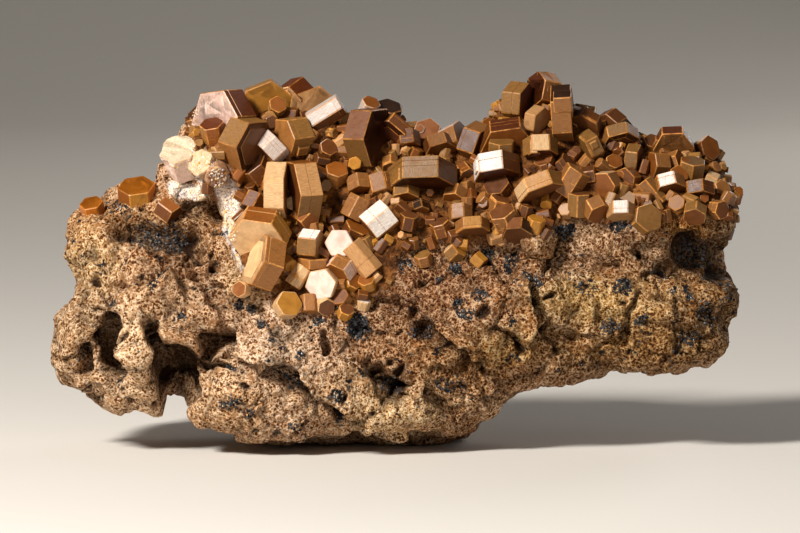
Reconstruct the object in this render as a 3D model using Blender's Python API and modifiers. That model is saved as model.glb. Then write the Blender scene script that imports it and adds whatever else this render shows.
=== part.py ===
"""Vanadinite on matrix: a loose piece of porous iron-stained rock with a crust of six-sided crystals.

Blender 4.5, metres, +Z up. The crystals face -Y, the rock rests on a small flat break at Z = 0, and the
origin is the bottom centre of the whole specimen's box.
"""

import math
import random

import bmesh
import bpy
from mathutils import Matrix, Vector, noise
from mathutils.bvhtree import BVHTree

MM = 0.001

# Driving dimensions, in millimetres.
GAP = 0.3                # play between a lone crystal and the rock that holds it
ROOM = 0.8               # play between the crust and the hollow it sits in
ROCK_VOXEL = 1.5         # grain of the rock's first shape
ROCK_FACES = 3400        # faces of the finished rock
BED_VOXEL = 1.2
BED_FACES = 420
ROOM_FACES = 760
ROOT_DEPTH = 1.2         # how far a crystal's root goes into the bed, beyond a third of its width
ROOT_RADIUS = 1.6        # radius of that root, beyond a third of the crystal's width
SMALLEST = 3.3           # crystals narrower than this belong to the fine druse and aren't solids

# A crystal's place is told as it is seen from the front: x to the right, h up. The eye is a little above.
EYE_DISTANCE = 900.0
EYE_HEIGHT_DEG = 5.0
EYE_AIM_H = 33.0

# Rock lumps: x, y, z, half sizes along x, y and z, turn about Y in degrees, squareness.
LUMPS = (
    # middle
    (-6, 3, 25, 32, 22, 21, 0, 2.6),
    (-24, 0, 44, 12, 14, 10, 0, 2.2),
    (-4, 0, 40, 14, 14, 10, 0, 2.2),
    (14, 0, 39, 16, 14, 10, 0, 2.3),
    (28, 2, 42, 8, 11, 10, 0, 2.2),
    (16, -12, 22, 15, 9, 11, -14, 2.3),
    (-18, -14, 15.6, 14, 9, 8, 24, 2.3),
    (-21, -12, 5.9, 9, 9, 4.6, 4, 2.2),
    (-4, -12, 10.2, 14, 10, 7.5, 4, 2.3),
    (10, -5, 11, 11, 13, 8, -16, 2.3),
    (10, -3, 4.7, 5, 7, 3.4, 0, 2.0),
    (26, -5, 17, 10, 13, 7, -22, 2.4),
    (31, 6, 14.6, 6, 8, 4, 0, 2.0),
    # right
    (42, 2, 30, 16, 18, 15, 0, 3.0),
    (50, 1, 38, 7.5, 12, 7, -8, 2.4),
    (47, -6, 17.7, 11.5, 12, 4.2, -3, 2.8),
    (57, -6, 26.2, 3, 6, 2.6, 0, 2.0),
    (45, -13, 27, 12, 5, 3.6, -4, 2.3),
    (40, -12, 21.2, 12, 6, 4.4, 0, 2.3),
    # left
    (-40, 2, 26, 16, 19, 16, 0, 2.5),
    (-50, 0, 34, 8, 12, 9, 0, 2.2),
    (-43, 0, 38, 11, 12, 6, 4, 2.2),
    (-51.8, -4, 19, 7.2, 14, 9.4, 0, 2.3),
    (-45, -6, 12.2, 11, 11, 5.4, 0, 2.2),
    (-44, -15, 19, 4.4, 5, 7, 0, 2.0),
    (-35, -17, 19, 5, 5, 5, 20, 2.0),
    (-30, -15, 9.6, 7.4, 8, 6.4, 8, 2.0),
    (-41, -14, 29, 9, 5, 3, 38, 2.0),
    (-51, -13, 26, 6, 5, 5, -30, 2.0),
    # underside and back
    (-6, 4.5, 5, 19, 13, 6.6, 0, 3.0),
    (-26, 10, 20, 20, 13, 15, 0, 2.4),
    (18, 10, 27, 23, 12, 16, 0, 2.4),
    (-4, 11, 36, 22, 10, 12, 0, 2.3),
)

# Hollows in the rock: x, y, z of the middle, radius, depth.
HOLLOWS = (
    (-1, -22, 11, 4.5, 2.5),
    (0, -24, 24, 3.2, 1.2),
    (52, -17, 33, 6, 3.5),
    (46, -18, 34, 4.5, 2),
    (-43, -17, 36.5, 4, 3),
    (-37, -18, 35, 4, 3),
    (-54, -17, 16, 2.2, 3),
    (-49, -18, 18, 2.8, 4.5),
    (-40.5, -20, 19, 2, 3),
    (-38.5, -20, 11, 4, 6),
    (-31, -22, 17.5, 3.2, 6),
    (-33, -15, 43, 3.4, 4.5),
    (-24, -24, 25, 2.5, 2.5),
    (3, -20, 41, 4, 3),
    (-20, 23, 27, 8, 3),
    (22, 22, 30, 7, 3),
    (3, 22, 17, 6, 2.5),
)

# The line where the crust begins on the rock's face, and the skyline, each as x, h, with their depths.
FRINGE = (
    (-60, 48), (-34, 47), (-28, 32), (-22, 25), (-15, 22), (-9, 22), (-2, 27), (2, 35), (10, 34),
    (20, 35), (30, 38), (40, 39), (60, 39),
)
SKYLINE = (
    (-60, 50), (-40, 54), (-34, 62), (-23, 64), (-12, 61), (0, 58), (4, 55), (15, 56), (20, 62),
    (25, 65), (31, 62), (37, 58), (44, 54), (50, 55), (55, 51), (60, 46),
)
FRINGE_Y = ((-60, -14), (-36, -15), (-26, -20), (-8, -21), (0, -19), (10, -17.5), (30, -17), (60, -15))
SKYLINE_Y = ((-60, 0), (-36, -4), (-20, -3), (10, -2), (40, -1), (60, 0))

# Crystals of the crust: x, h, width across corners, thickness, then the way the flat end faces as
# turn to the right and tilt up in degrees, roll about its axis, and how far it stands forward.
LEFT_DOME = (
    (-30.1, 56.5, 11.5, 4.8, -43, 0, 22, 0),
    (-22.5, 58.6, 10.0, 3.4, 3, -5, 8, -3),
    (-20.9, 58.6, 3.4, 2.6, 10, 30, 0, 1),
    (-17.6, 60.4, 6.6, 4.2, -41, -24, 20, -3),
    (-14.4, 57.2, 10.4, 3.0, 3, 5, 10, -2),
    (-18.2, 53.5, 7.5, 4.4, -53, -5, 30, 1),
    (-12.3, 57.5, 4.4, 6.3, 84, 32, 15, 2),
    (-32.0, 54.4, 4.4, 3.4, -20, 60, 10, 2),
    (-26.4, 52.4, 10.0, 4.4, 50, -12, 30, 2),
    (-21.7, 51.6, 6.2, 3.2, -80, -43, 0, 2),
    (-20.9, 43.9, 10.6, 3.5, 84, 0, 0, 2),
    (-18.1, 41.9, 3.0, 2.0, 10, 10, 0, 1),
    (-24.4, 47.4, 5.6, 3.2, -60, 50, 20, 0),
    (-25.0, 42.0, 4.4, 3.0, -50, -55, 0, 0),
    (-23.8, 36.4, 10.4, 4.1, -15, -32, 38, 2),
    (-23.2, 31.6, 10.2, 3.9, -68, 20, 29, 2),
    (-27.0, 26.9, 3.0, 2.0, -30, 10, 0, -0.5),
    (-19.1, 24.2, 4.9, 2.4, 22, 20, 35, 1),
    (-16.8, 43.8, 12.4, 4.1, -70, -2, 30, 1),
    (-10.6, 46.8, 4.2, 3.1, 10, 50, 0, 0),
    (-6.6, 45.1, 4.6, 2.8, 15, -55, 40, 0),
    (-2.9, 44.8, 5.2, 3.6, 20, -55, 0, 0),
    (-3.1, 38.8, 6.2, 4.9, -78, -38, 3, 2),
    (-7.1, 41.1, 4.6, 4.0, -80, -62, 5, 1),
    (-16.4, 39.2, 5.0, 3.0, -60, -40, 10, 1),
    (-15.0, 34.6, 5.8, 3.4, 72, -4, 0, 2),
    (-14.6, 31.7, 6.0, 1.7, 10, 85, 22, 1),
    (-9.9, 34.9, 5.2, 2.6, -10, 10, 30, 2),
    (-7.2, 36.8, 5.0, 3.0, 40, 55, 15, 0),
    (-6.2, 32.2, 4.6, 6.2, 82, -50, 0, 1),
    (-17.1, 29.2, 3.4, 3.8, -80, -55, 0, 1),
    (-13.0, 27.9, 5.8, 2.6, -15, 0, 20, 1),
    (-9.9, 30.3, 5.6, 2.8, -40, -38, 0, 1),
    (-7.8, 28.0, 3.2, 2.0, 30, 30, 0, 0),
    (-5.2, 28.0, 3.2, 2.0, -20, 50, 0, 0),
    (-15.3, 24.4, 3.6, 3.0, 8, -70, 25, 0),
    (-12.6, 24.2, 3.4, 2.0, 20, -20, 0, 0),
    (-9.6, 25.4, 3.4, 2.0, -30, 30, 20, 0),
    (-9.0, 23.0, 2.9, 2.0, 20, 40, 0, 0),
    (-37.4, 49.6, 6.8, 5.8, -15, 40, 10, -3),
    (-33.6, 48.6, 5.4, 3.6, -30, 20, 0, -2),
    (-31.6, 47.2, 4.4, 3.0, 20, -30, 0, 0),
)
SADDLE = (
    (-4.9, 53.4, 11.3, 4.2, 60, 0, 30, 1),
    (-1.2, 53.8, 7.8, 3.0, -25, -25, 15, -1),
    (-4.9, 58.6, 3.6, 2.6, 30, 50, 0, -2),
    (-1.6, 57.8, 5.0, 2.6, 20, 60, 10, -4),
    (-12.2, 51.2, 3.4, 2.4, 20, 30, 0, 1),
    (1.8, 52.9, 4.6, 2.8, 10, -60, 15, 0),
    (-1.2, 48.7, 3.2, 2.2, 0, -40, 0, 0),
    (4.4, 46.4, 12.4, 4.0, 0, -65, 25, 1),
    (5.3, 54.0, 5.2, 2.6, -10, 35, 10, -2),
    (7.3, 51.6, 6.2, 2.6, 20, -45, 5, 0),
    (10.1, 53.1, 6.0, 3.4, 60, 25, 15, -1),
    (13.7, 52.2, 8.0, 3.4, 60, -15, 15, -1),
    (16.0, 55.0, 3.4, 2.2, 20, 40, 0, -2),
    (19.3, 52.1, 10.5, 3.4, 3, -33, 20, -1),
    (18.1, 51.2, 4.8, 3.3, 0, 75, 10, 2.5),
    (17.3, 48.0, 8.4, 3.6, 8, -62, 5, 1),
    (10.1, 43.2, 4.6, 2.4, -20, -45, 20, 0),
    (11.7, 47.3, 3.4, 2.4, 30, -30, 0, 0),
    (1.4, 43.5, 5.2, 2.8, 0, -50, 10, -1),
    (17.6, 44.6, 5.0, 2.4, -30, 40, 20, 0),
    (17.6, 41.8, 3.8, 2.6, 40, 60, 0, 0),
    (4.0, 41.0, 3.4, 2.2, 10, -40, 0, -1),
    (1.9, 38.8, 3.4, 2.6, 30, 68, 0, 0),
    (11.0, 40.0, 4.4, 2.8, 5, -62, 10, 0.5),
    (13.1, 37.8, 6.2, 2.2, 10, -66, 20, 1),
    (7.6, 37.6, 3.6, 2.6, -40, 62, 0, 0),
)
SPIRES = (
    (21.1, 59.5, 7.4, 3.6, 62, -4, 0, -1),
    (25.4, 61.5, 7.0, 3.6, -60, 12, 0, -2),
    (28.8, 57.2, 11.0, 3.5, 85, 4, 0, 0),
    (24.4, 56.2, 5.6, 2.4, 50, -10, 0, 0.5),
    (24.9, 51.6, 6.2, 3.0, 5, -65, 25, 1),
    (32.7, 55.6, 6.2, 2.4, -25, -35, 6, 0),
    (33.5, 51.7, 6.2, 2.6, -70, -25, -5, 0),
    (38.7, 53.2, 7.0, 2.4, 15, -50, 7, 0.5),
    (37.3, 55.6, 5.6, 3.0, -40, -20, 10, -2),
    (30.3, 45.7, 5.0, 5.0, 75, 58, 0, 1),
    (29.2, 48.4, 4.2, 2.6, 60, 40, 0, -0.5),
    (24.9, 44.6, 9.0, 2.8, 38, -58, -12, 1),
    (25.8, 48.9, 3.6, 2.4, -30, 40, 0, 0),
    (18.8, 39.2, 5.0, 3.4, -40, 55, 15, 1),
    (21.0, 37.2, 5.4, 2.4, -10, -50, 20, 0.5),
    (24.0, 38.1, 3.4, 2.8, 30, 66, 0, 0),
    (31.6, 41.8, 4.2, 4.0, 10, 80, 20, 0),
    (33.4, 46.6, 3.8, 2.4, 80, 10, 0, 1),
    (36.3, 45.0, 5.4, 3.0, -32, -5, 25, 1),
    (34.7, 40.9, 4.8, 2.6, 30, -40, 0, 0.5),
    (38.9, 40.5, 5.2, 2.4, 0, -62, 25, 1),
    (37.6, 48.7, 3.2, 2.2, 10, 40, 0, 0),
)
RIGHT_BANK = (
    (41.1, 49.6, 5.6, 2.2, 75, -5, 0, 0),
    (44.4, 52.0, 4.0, 2.2, 20, 50, 0, -1),
    (45.4, 48.5, 5.0, 2.8, -68, 5, 30, 1),
    (48.0, 51.9, 7.4, 2.8, 0, -24, 26, 0),
    (53.6, 51.2, 4.8, 3.0, 40, 20, 0, -1),
    (48.4, 49.0, 4.2, 2.4, 60, 20, 0, 0),
    (51.2, 47.8, 4.8, 3.4, 20, 70, 20, 0.5),
    (48.9, 46.6, 3.6, 2.2, 10, 30, 0, 0),
    (47.3, 44.9, 6.0, 2.6, 15, -50, 5, 1),
    (44.4, 43.7, 3.4, 5.0, 75, -50, 0, 0.5),
    (52.5, 44.1, 5.6, 2.4, 5, -62, 5, 1),
    (54.7, 45.8, 3.4, 2.2, 80, -20, 0, 0),
    (56.2, 44.2, 3.4, 2.2, 30, 30, 0, 0),
    (55.8, 40.8, 3.6, 2.2, 40, 0, 20, 0),
    (43.4, 39.2, 5.4, 2.2, 20, 20, 15, 0.5),
    (51.8, 40.2, 4.4, 2.2, -10, -40, 10, 0.5),
    (48.8, 41.6, 3.2, 2.2, -20, 30, 0, 0),
    (39.9, 45.8, 5.0, 2.4, -35, 0, 10, 0),
    (40.2, 42.2, 3.4, 2.2, -20, 30, 0, 0),
)
CRUST = LEFT_DOME + SADDLE + SPIRES + RIGHT_BANK

# Crystals that stand alone in the rock: name, x, h, width, thickness, turn, tilt, roll, part sunk.
STRAYS = (
    ("crystal_left_end", -53.0, 41.0, 4.4, 2.6, -20, 58, 10, 0.5),
    ("crystal_left_shoulder", -45.2, 43.4, 6.8, 3.8, -8, 62, 12, -0.4),
    ("crystal_broken_rim", -39.8, 40.4, 4.4, 3.4, 58, -30, 0, -0.3),
    ("crystal_below_crust", -5.9, 24.4, 2.6, 1.8, 30, 60, 0, 0.3),
    ("crystal_low_pair_left", 10.1, 33.4, 3.6, 2.4, 58, 40, 0, 0.3),
    ("crystal_low_pair_right", 14.2, 31.9, 3.0, 2.2, 70, -40, 0, 0.3),
    ("crystal_flat_on_face", 4.6, 32.2, 3.2, 2.0, -30, 62, 0, 0.6),
)


def along(line, x):
    """The height of a line of (x, value) points at x."""
    for (x0, a), (x1, b) in zip(line, line[1:]):
        if x <= x1:
            return a + (b - a) * max(0.0, x - x0) / (x1 - x0)
    return line[-1][1]


def crust_share(x, h):
    """How far up the crust is, from 0 at its lower edge to 1 at the skyline."""
    low, high = along(FRINGE, x), along(SKYLINE, x)
    return max(-0.25, min(1.15, (h - low) / (high - low)))


def crust_depth(x, h):
    """How far back the crust lies where it is seen at x, h."""
    return along(FRINGE_Y, x) + (along(SKYLINE_Y, x) - along(FRINGE_Y, x)) * crust_share(x, h)


def sight(x, h):
    """The eye, and the way it looks towards x, h, in millimetres."""
    tilt = math.radians(EYE_HEIGHT_DEG)
    ahead = Vector((0, math.cos(tilt), -math.sin(tilt)))
    up = Vector((0, math.sin(tilt), math.cos(tilt)))
    ray = ahead * EYE_DISTANCE + Vector((x, 0, 0)) + up * (h - EYE_AIM_H)
    return Vector((0, 0, EYE_AIM_H)) - ahead * EYE_DISTANCE, ray


def seen_at(x, h, y):
    """The point, in millimetres, at depth y that the eye sees at x, h."""
    eye, ray = sight(x, h)
    return eye + ray * ((y - eye.y) / ray.y)


def crystal_matrix(place, turn, tilt, roll):
    """A frame at place whose Z is the crystal's long axis, which faces -Y when turn and tilt are 0."""
    a, b = math.radians(turn), math.radians(tilt)
    axis = Vector((math.sin(a) * math.cos(b), -math.cos(a) * math.cos(b), math.sin(b)))
    side = Vector((math.cos(a), math.sin(a), 0))
    upward = axis.cross(side)
    frame = Matrix((side, upward, axis)).transposed().to_4x4()
    return Matrix.Translation(place) @ frame @ Matrix.Rotation(math.radians(-roll), 4, "Z")


def add_prism(bm, matrix, across, thick):
    """A six-sided prism about the matrix's Z, with a corner on its Y."""
    turned = matrix @ Matrix.Rotation(math.radians(90), 4, "Z")
    bmesh.ops.create_cone(
        bm, cap_ends=True, segments=6, radius1=across / 2, radius2=across / 2, depth=thick, matrix=turned,
    )


def add_lump(bm, x, y, z, half_x, half_y, half_z, turn, squareness):
    """A ball swollen towards a box and stretched to its half sizes."""
    made = bmesh.ops.create_icosphere(bm, subdivisions=4, radius=1.0)["verts"]
    for v in made:
        size = sum(abs(c) ** squareness for c in v.co) ** (1 / squareness)
        v.co = v.co / size
    shape = Matrix.Translation((x, y, z)) @ Matrix.Rotation(math.radians(turn), 4, "Y")
    shape = shape @ Matrix.Diagonal((half_x, half_y, half_z, 1))
    bmesh.ops.transform(bm, matrix=shape, verts=made)


def object_from(bm, name, collection, unit=MM):
    """An object of this bmesh, which is in millimetres."""
    bmesh.ops.scale(bm, vec=(unit, unit, unit), verts=bm.verts)
    mesh = bpy.data.meshes.new(name)
    bm.to_mesh(mesh)
    bm.free()
    obj = bpy.data.objects.new(name, mesh)
    collection.objects.link(obj)
    return obj


def apply_modifiers(obj):
    """The object keeps its evaluated mesh and loses its modifiers."""
    graph = bpy.context.evaluated_depsgraph_get()
    mesh = bpy.data.meshes.new_from_object(obj.evaluated_get(graph))
    obj.modifiers.clear()
    obj.data = mesh


def fuse(obj, voxel, smoothing):
    """Fuses overlapping lumps into one skin, and eases the creases between them."""
    remesh = obj.modifiers.new("Fuse", "REMESH")
    remesh.mode = "VOXEL"
    remesh.voxel_size = voxel * MM
    apply_modifiers(obj)
    bm = bmesh.new()
    bm.from_mesh(obj.data)
    for _ in range(smoothing):
        bmesh.ops.smooth_vert(bm, verts=bm.verts, factor=0.5, use_axis_x=True, use_axis_y=True, use_axis_z=True)
    bm.to_mesh(obj.data)
    bm.free()


def reduce_to(obj, faces):
    thin = obj.modifiers.new("Reduce", "DECIMATE")
    obj.data.calc_loop_triangles()
    thin.ratio = faces / len(obj.data.loop_triangles)
    thin.use_collapse_triangulate = True
    apply_modifiers(obj)


def weather(obj):
    """Hollows and broken relief over the rock."""
    bm = bmesh.new()
    bm.from_mesh(obj.data)
    bm.normal_update()
    moves = []
    for v in bm.verts:
        p = v.co / MM
        relief = 1.5 * noise.fractal(p / 16, 1.0, 2.0, 3) + 0.9 * noise.fractal(p / 6 + Vector((9, 0, 0)), 1.0, 2.0, 2)
        move = v.normal * relief
        for x, y, z, radius, depth in HOLLOWS:
            away = (p - Vector((x, y, z))).length / radius
            if away < 2.5:
                move -= v.normal * depth * math.exp(-away * away)
        moves.append(move * MM)
    for v, move in zip(bm.verts, moves):
        v.co += move
    bm.to_mesh(obj.data)
    bm.free()


def cut(obj, cutter, operation="DIFFERENCE"):
    boolean = obj.modifiers.new("Cut", "BOOLEAN")
    boolean.operation = operation
    if isinstance(cutter, bpy.types.Collection):
        boolean.operand_type = "COLLECTION"
        boolean.collection = cutter
    else:
        boolean.object = cutter
    apply_modifiers(obj)


def keep_largest(obj):
    """Drops the crumbs that the cuts leave beside the one body."""
    bm = bmesh.new()
    bm.from_mesh(obj.data)
    left, bodies = set(bm.faces), []
    while left:
        body, edge = set(), [next(iter(left))]
        left.discard(edge[0])
        while edge:
            face = edge.pop()
            body.add(face)
            for near in [f for e in face.edges for f in e.link_faces if f in left]:
                left.discard(near)
                edge.append(near)
        bodies.append(body)
    largest = max(bodies, key=len)
    crumbs = [f for body in bodies if body is not largest for f in body]
    bmesh.ops.delete(bm, geom=crumbs, context="FACES")
    bm.to_mesh(obj.data)
    bm.free()


def build_rock(collection):
    bm = bmesh.new()
    for lump in LUMPS:
        add_lump(bm, *lump)
    rock = object_from(bm, "matrix", collection)
    fuse(rock, ROCK_VOXEL, 2)
    weather(rock)
    reduce_to(rock, ROCK_FACES)
    return rock


def crust_crystals():
    """The crust's solid crystals, in millimetres, as (matrix, width, thickness, middle of the root)."""
    found = []
    for x, h, across, thick, turn, tilt, roll, forward in CRUST + back_crystals():
        if across < SMALLEST:
            continue
        place = seen_at(x, h, crust_depth(x, h) - forward)
        slope = math.radians(10 + 55 * crust_share(x, h) if forward > -4 else 75)
        root = place + Vector((0, math.cos(slope), -math.sin(slope))) * (across / 3 + ROOT_DEPTH)
        found.append((crystal_matrix(place, turn, tilt, roll), across, thick, root))
    return found


def back_crystals():
    """The crust goes on over the crest, where it is smaller and thins out down the back."""
    chance = random.Random(7)
    found = []
    for x in range(-33, 56, 5):
        for row in range(2):
            place_x = x + chance.uniform(-1.5, 1.5)
            drop = 2.0 + 4.5 * row + chance.uniform(-1, 1)
            h = along(SKYLINE, place_x) - 3.5 - drop
            forward = -(4.0 + 1.1 * drop) - 3
            across = chance.uniform(4.0, 8.0) - row
            turn, tilt = chance.uniform(-80, 80), chance.uniform(10, 80)
            found.append((place_x, h, across, across * chance.uniform(0.35, 0.6), turn, tilt, chance.uniform(0, 60), forward))
    return tuple(found)


def add_roots(bm, crystals, more):
    for _, across, _, root in crystals:
        bmesh.ops.create_icosphere(
            bm, subdivisions=3, radius=across / 3 + ROOT_RADIUS + more, matrix=Matrix.Translation(root),
        )


def build_bed(crystals, collection):
    """The layer that the crystals grow from: a root under each, fused."""
    bm = bmesh.new()
    add_roots(bm, crystals, 0)
    bed = object_from(bm, "crystal_crust", collection)
    fuse(bed, BED_VOXEL, 3)
    reduce_to(bed, BED_FACES)
    return bed


def build_room(crystals, collection):
    """The hollow that the rock leaves for the whole crust."""
    bm = bmesh.new()
    add_roots(bm, crystals, ROOM + 1.0)
    for matrix, across, thick, _ in crystals:
        add_prism(bm, matrix, across + 3 * ROOM, thick + 2.6 * ROOM)
    room = object_from(bm, "crust_room", collection)
    fuse(room, BED_VOXEL, 1)
    reduce_to(room, ROOM_FACES)
    return room


def centre(pieces):
    """Moves the pieces so that the middle of their common box is over the origin."""
    low = [min(v.co[axis] for piece in pieces for v in piece.data.vertices) for axis in (0, 1)]
    high = [max(v.co[axis] for piece in pieces for v in piece.data.vertices) for axis in (0, 1)]
    shift = Vector((-(low[0] + high[0]) / 2, -(low[1] + high[1]) / 2, 0))
    for piece in pieces:
        piece.data.transform(Matrix.Translation(shift))


def paint(obj, name, colour, roughness):
    material = bpy.data.materials.new(name)
    material.use_nodes = True
    shader = material.node_tree.nodes["Principled BSDF"]
    shader.inputs["Base Color"].default_value = (*colour, 1)
    shader.inputs["Roughness"].default_value = roughness
    shader.inputs["Metallic"].default_value = 0.0
    obj.data.materials.clear()
    obj.data.materials.append(material)


def main():
    for obj in list(bpy.data.objects):
        bpy.data.objects.remove(obj)
    specimen = bpy.data.collections.new("vanadinite_on_matrix")
    cutters = bpy.data.collections.new("cutters")
    prisms = bpy.data.collections.new("prisms")
    rooms = bpy.data.collections.new("prism_rooms")
    for collection in (specimen, cutters, prisms, rooms):
        bpy.context.scene.collection.children.link(collection)
    rock = build_rock(specimen)
    crystals = crust_crystals()
    bed = build_bed(crystals, specimen)
    build_room(crystals, cutters)
    for number, (matrix, across, thick, _) in enumerate(crystals):
        bm = bmesh.new()
        add_prism(bm, matrix, across, thick)
        object_from(bm, f"prism_{number}", prisms)
        bm = bmesh.new()
        add_prism(bm, matrix, across + 2.3 * GAP, thick + 2 * GAP)
        object_from(bm, f"prism_room_{number}", rooms)
    surface = BVHTree.FromObject(rock, bpy.context.evaluated_depsgraph_get())
    for name, x, h, across, thick, turn, tilt, roll, sunk in STRAYS:
        eye, ray = sight(x, h)
        hit = surface.ray_cast(eye * MM, ray)[0]
        if hit is None:
            raise ValueError(f"{name} has no rock behind it")
        place = hit / MM + ray.normalized() * sunk
        matrix = crystal_matrix(place, turn, tilt, roll)
        bm = bmesh.new()
        add_prism(bm, matrix, across, thick)
        object_from(bm, name, specimen)
        bm = bmesh.new()
        add_prism(bm, matrix, across + 2.3 * GAP, thick + 2 * GAP)
        object_from(bm, name + "_room", cutters)
    bm = bmesh.new()
    bmesh.ops.create_cube(bm, size=200, matrix=Matrix.Translation((0, 0, -100)))
    object_from(bm, "table", cutters)
    for helper in list(cutters.objects) + list(prisms.objects) + list(rooms.objects):
        helper.hide_render = True
        helper.display_type = "WIRE"
    for cutter in cutters.objects:
        cut(rock, cutter)
    keep_largest(rock)
    cut(rock, rooms)
    cut(bed, prisms, "UNION")
    keep_largest(rock)
    keep_largest(bed)
    centre(specimen.objects)
    for piece in specimen.objects:
        if piece is rock:
            paint(piece, "rock", (0.43, 0.26, 0.15), 0.85)
        elif piece is bed:
            paint(piece, "vanadinite", (0.40, 0.17, 0.07), 0.3)
        else:
            paint(piece, piece.name.replace("crystal", "vanadinite"), (0.52, 0.22, 0.07), 0.3)


if __name__ == "__main__":
    main()
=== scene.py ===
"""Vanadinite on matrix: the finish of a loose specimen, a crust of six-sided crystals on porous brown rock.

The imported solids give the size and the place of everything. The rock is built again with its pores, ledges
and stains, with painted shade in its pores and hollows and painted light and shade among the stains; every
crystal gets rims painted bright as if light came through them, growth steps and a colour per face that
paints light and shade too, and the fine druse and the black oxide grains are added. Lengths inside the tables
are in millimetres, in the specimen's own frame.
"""

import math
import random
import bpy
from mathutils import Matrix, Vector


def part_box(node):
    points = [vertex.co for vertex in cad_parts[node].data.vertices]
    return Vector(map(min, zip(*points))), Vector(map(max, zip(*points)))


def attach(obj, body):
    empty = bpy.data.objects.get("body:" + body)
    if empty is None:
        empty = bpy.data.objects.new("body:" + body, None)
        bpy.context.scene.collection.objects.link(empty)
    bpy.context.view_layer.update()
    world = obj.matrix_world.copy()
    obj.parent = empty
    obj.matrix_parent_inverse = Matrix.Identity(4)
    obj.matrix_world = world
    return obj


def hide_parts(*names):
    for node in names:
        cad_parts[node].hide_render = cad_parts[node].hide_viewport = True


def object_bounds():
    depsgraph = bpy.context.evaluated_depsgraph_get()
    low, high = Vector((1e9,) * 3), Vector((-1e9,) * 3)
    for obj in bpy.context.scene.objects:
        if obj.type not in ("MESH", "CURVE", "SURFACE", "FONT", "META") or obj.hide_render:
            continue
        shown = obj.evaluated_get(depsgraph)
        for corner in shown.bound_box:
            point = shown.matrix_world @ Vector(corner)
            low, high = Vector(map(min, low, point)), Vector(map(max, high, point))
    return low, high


bl_info = {
    "name": "Vanadinite on Matrix",
    "version": (1, 0, 0),
    "blender": (4, 5, 0),
    "location": "3D View > Sidebar > Specimen",
    "description": "Builds the finished rock, crystals, druse and studio around the packed solids",
    "category": "Object",
}

import bmesh
import bpy
from bpy.props import FloatProperty, FloatVectorProperty, IntProperty, PointerProperty
from bpy.types import Operator, Panel, PropertyGroup
from mathutils import Matrix, Vector, noise
from mathutils.bvhtree import BVHTree

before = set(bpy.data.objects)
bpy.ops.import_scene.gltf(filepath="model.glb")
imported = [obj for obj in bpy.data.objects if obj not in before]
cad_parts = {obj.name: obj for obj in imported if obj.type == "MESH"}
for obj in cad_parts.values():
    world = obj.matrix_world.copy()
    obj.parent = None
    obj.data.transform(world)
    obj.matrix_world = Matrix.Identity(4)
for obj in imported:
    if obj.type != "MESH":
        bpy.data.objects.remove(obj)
CAD_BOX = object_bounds()

MM = 0.001
ROOT = "root"

# A place on the front is told as it is seen: x to the right, h up. The eye is a little above the table.
EYE_DISTANCE = 900.0
EYE_HEIGHT_DEG = 5.0
EYE_AIM_H = 33.0
CENTRING = Vector((0.029, -0.482, 0.0))   # how far the solids were moved to centre them over the origin
VIEW_WIDE = 139.2                         # how much the camera takes in from side to side at the specimen

# The crust's lower edge on the rock and its skyline, as x, h, and how deep each lies.
FRINGE = (
    (-60, 48), (-34, 47), (-28, 32), (-22, 25), (-15, 22), (-9, 22), (-2, 27), (2, 35), (10, 34),
    (20, 35), (30, 38), (40, 39), (60, 39),
)
SKYLINE = (
    (-60, 50), (-40, 54), (-34, 62), (-23, 64), (-12, 61), (0, 58), (4, 55), (15, 56), (20, 62),
    (25, 65), (31, 62), (37, 58), (44, 54), (50, 55), (55, 51), (60, 46),
)
FRINGE_Y = ((-60, -14), (-36, -15), (-26, -20), (-8, -21), (0, -19), (10, -17.5), (30, -17), (60, -15))
SKYLINE_Y = ((-60, 0), (-36, -4), (-20, -3), (10, -2), (40, -1), (60, 0))

# The colours a face may have, as linear red, green and blue. They carry painted light and shade: white,
# blush and silver mostly paint highlights and sheen on faces turned to the light, and russet and umber mostly
# paint the shade on faces turned away from it.
FACE_COLOURS_AND_LIGHT = {
    "blush": (0.74, 0.55, 0.47),
    "cream": (0.58, 0.37, 0.185),
    "beige": (0.42, 0.33, 0.21),
    "peach": (0.45, 0.235, 0.092),
    "tan": (0.255, 0.104, 0.026),
    "khaki": (0.225, 0.106, 0.025),
    "olive": (0.14, 0.065, 0.015),
    "rose": (0.14, 0.048, 0.013),
    "ochre": (0.20, 0.060, 0.007),
    "golden": (0.40, 0.175, 0.022),
    "orange": (0.42, 0.130, 0.008),
    "brown": (0.105, 0.031, 0.005),
    "russet": (0.080, 0.017, 0.002),
    "umber": (0.028, 0.009, 0.002),
    "silver": (0.46, 0.39, 0.35),
    "white": (0.84, 0.76, 0.70),
}
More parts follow.
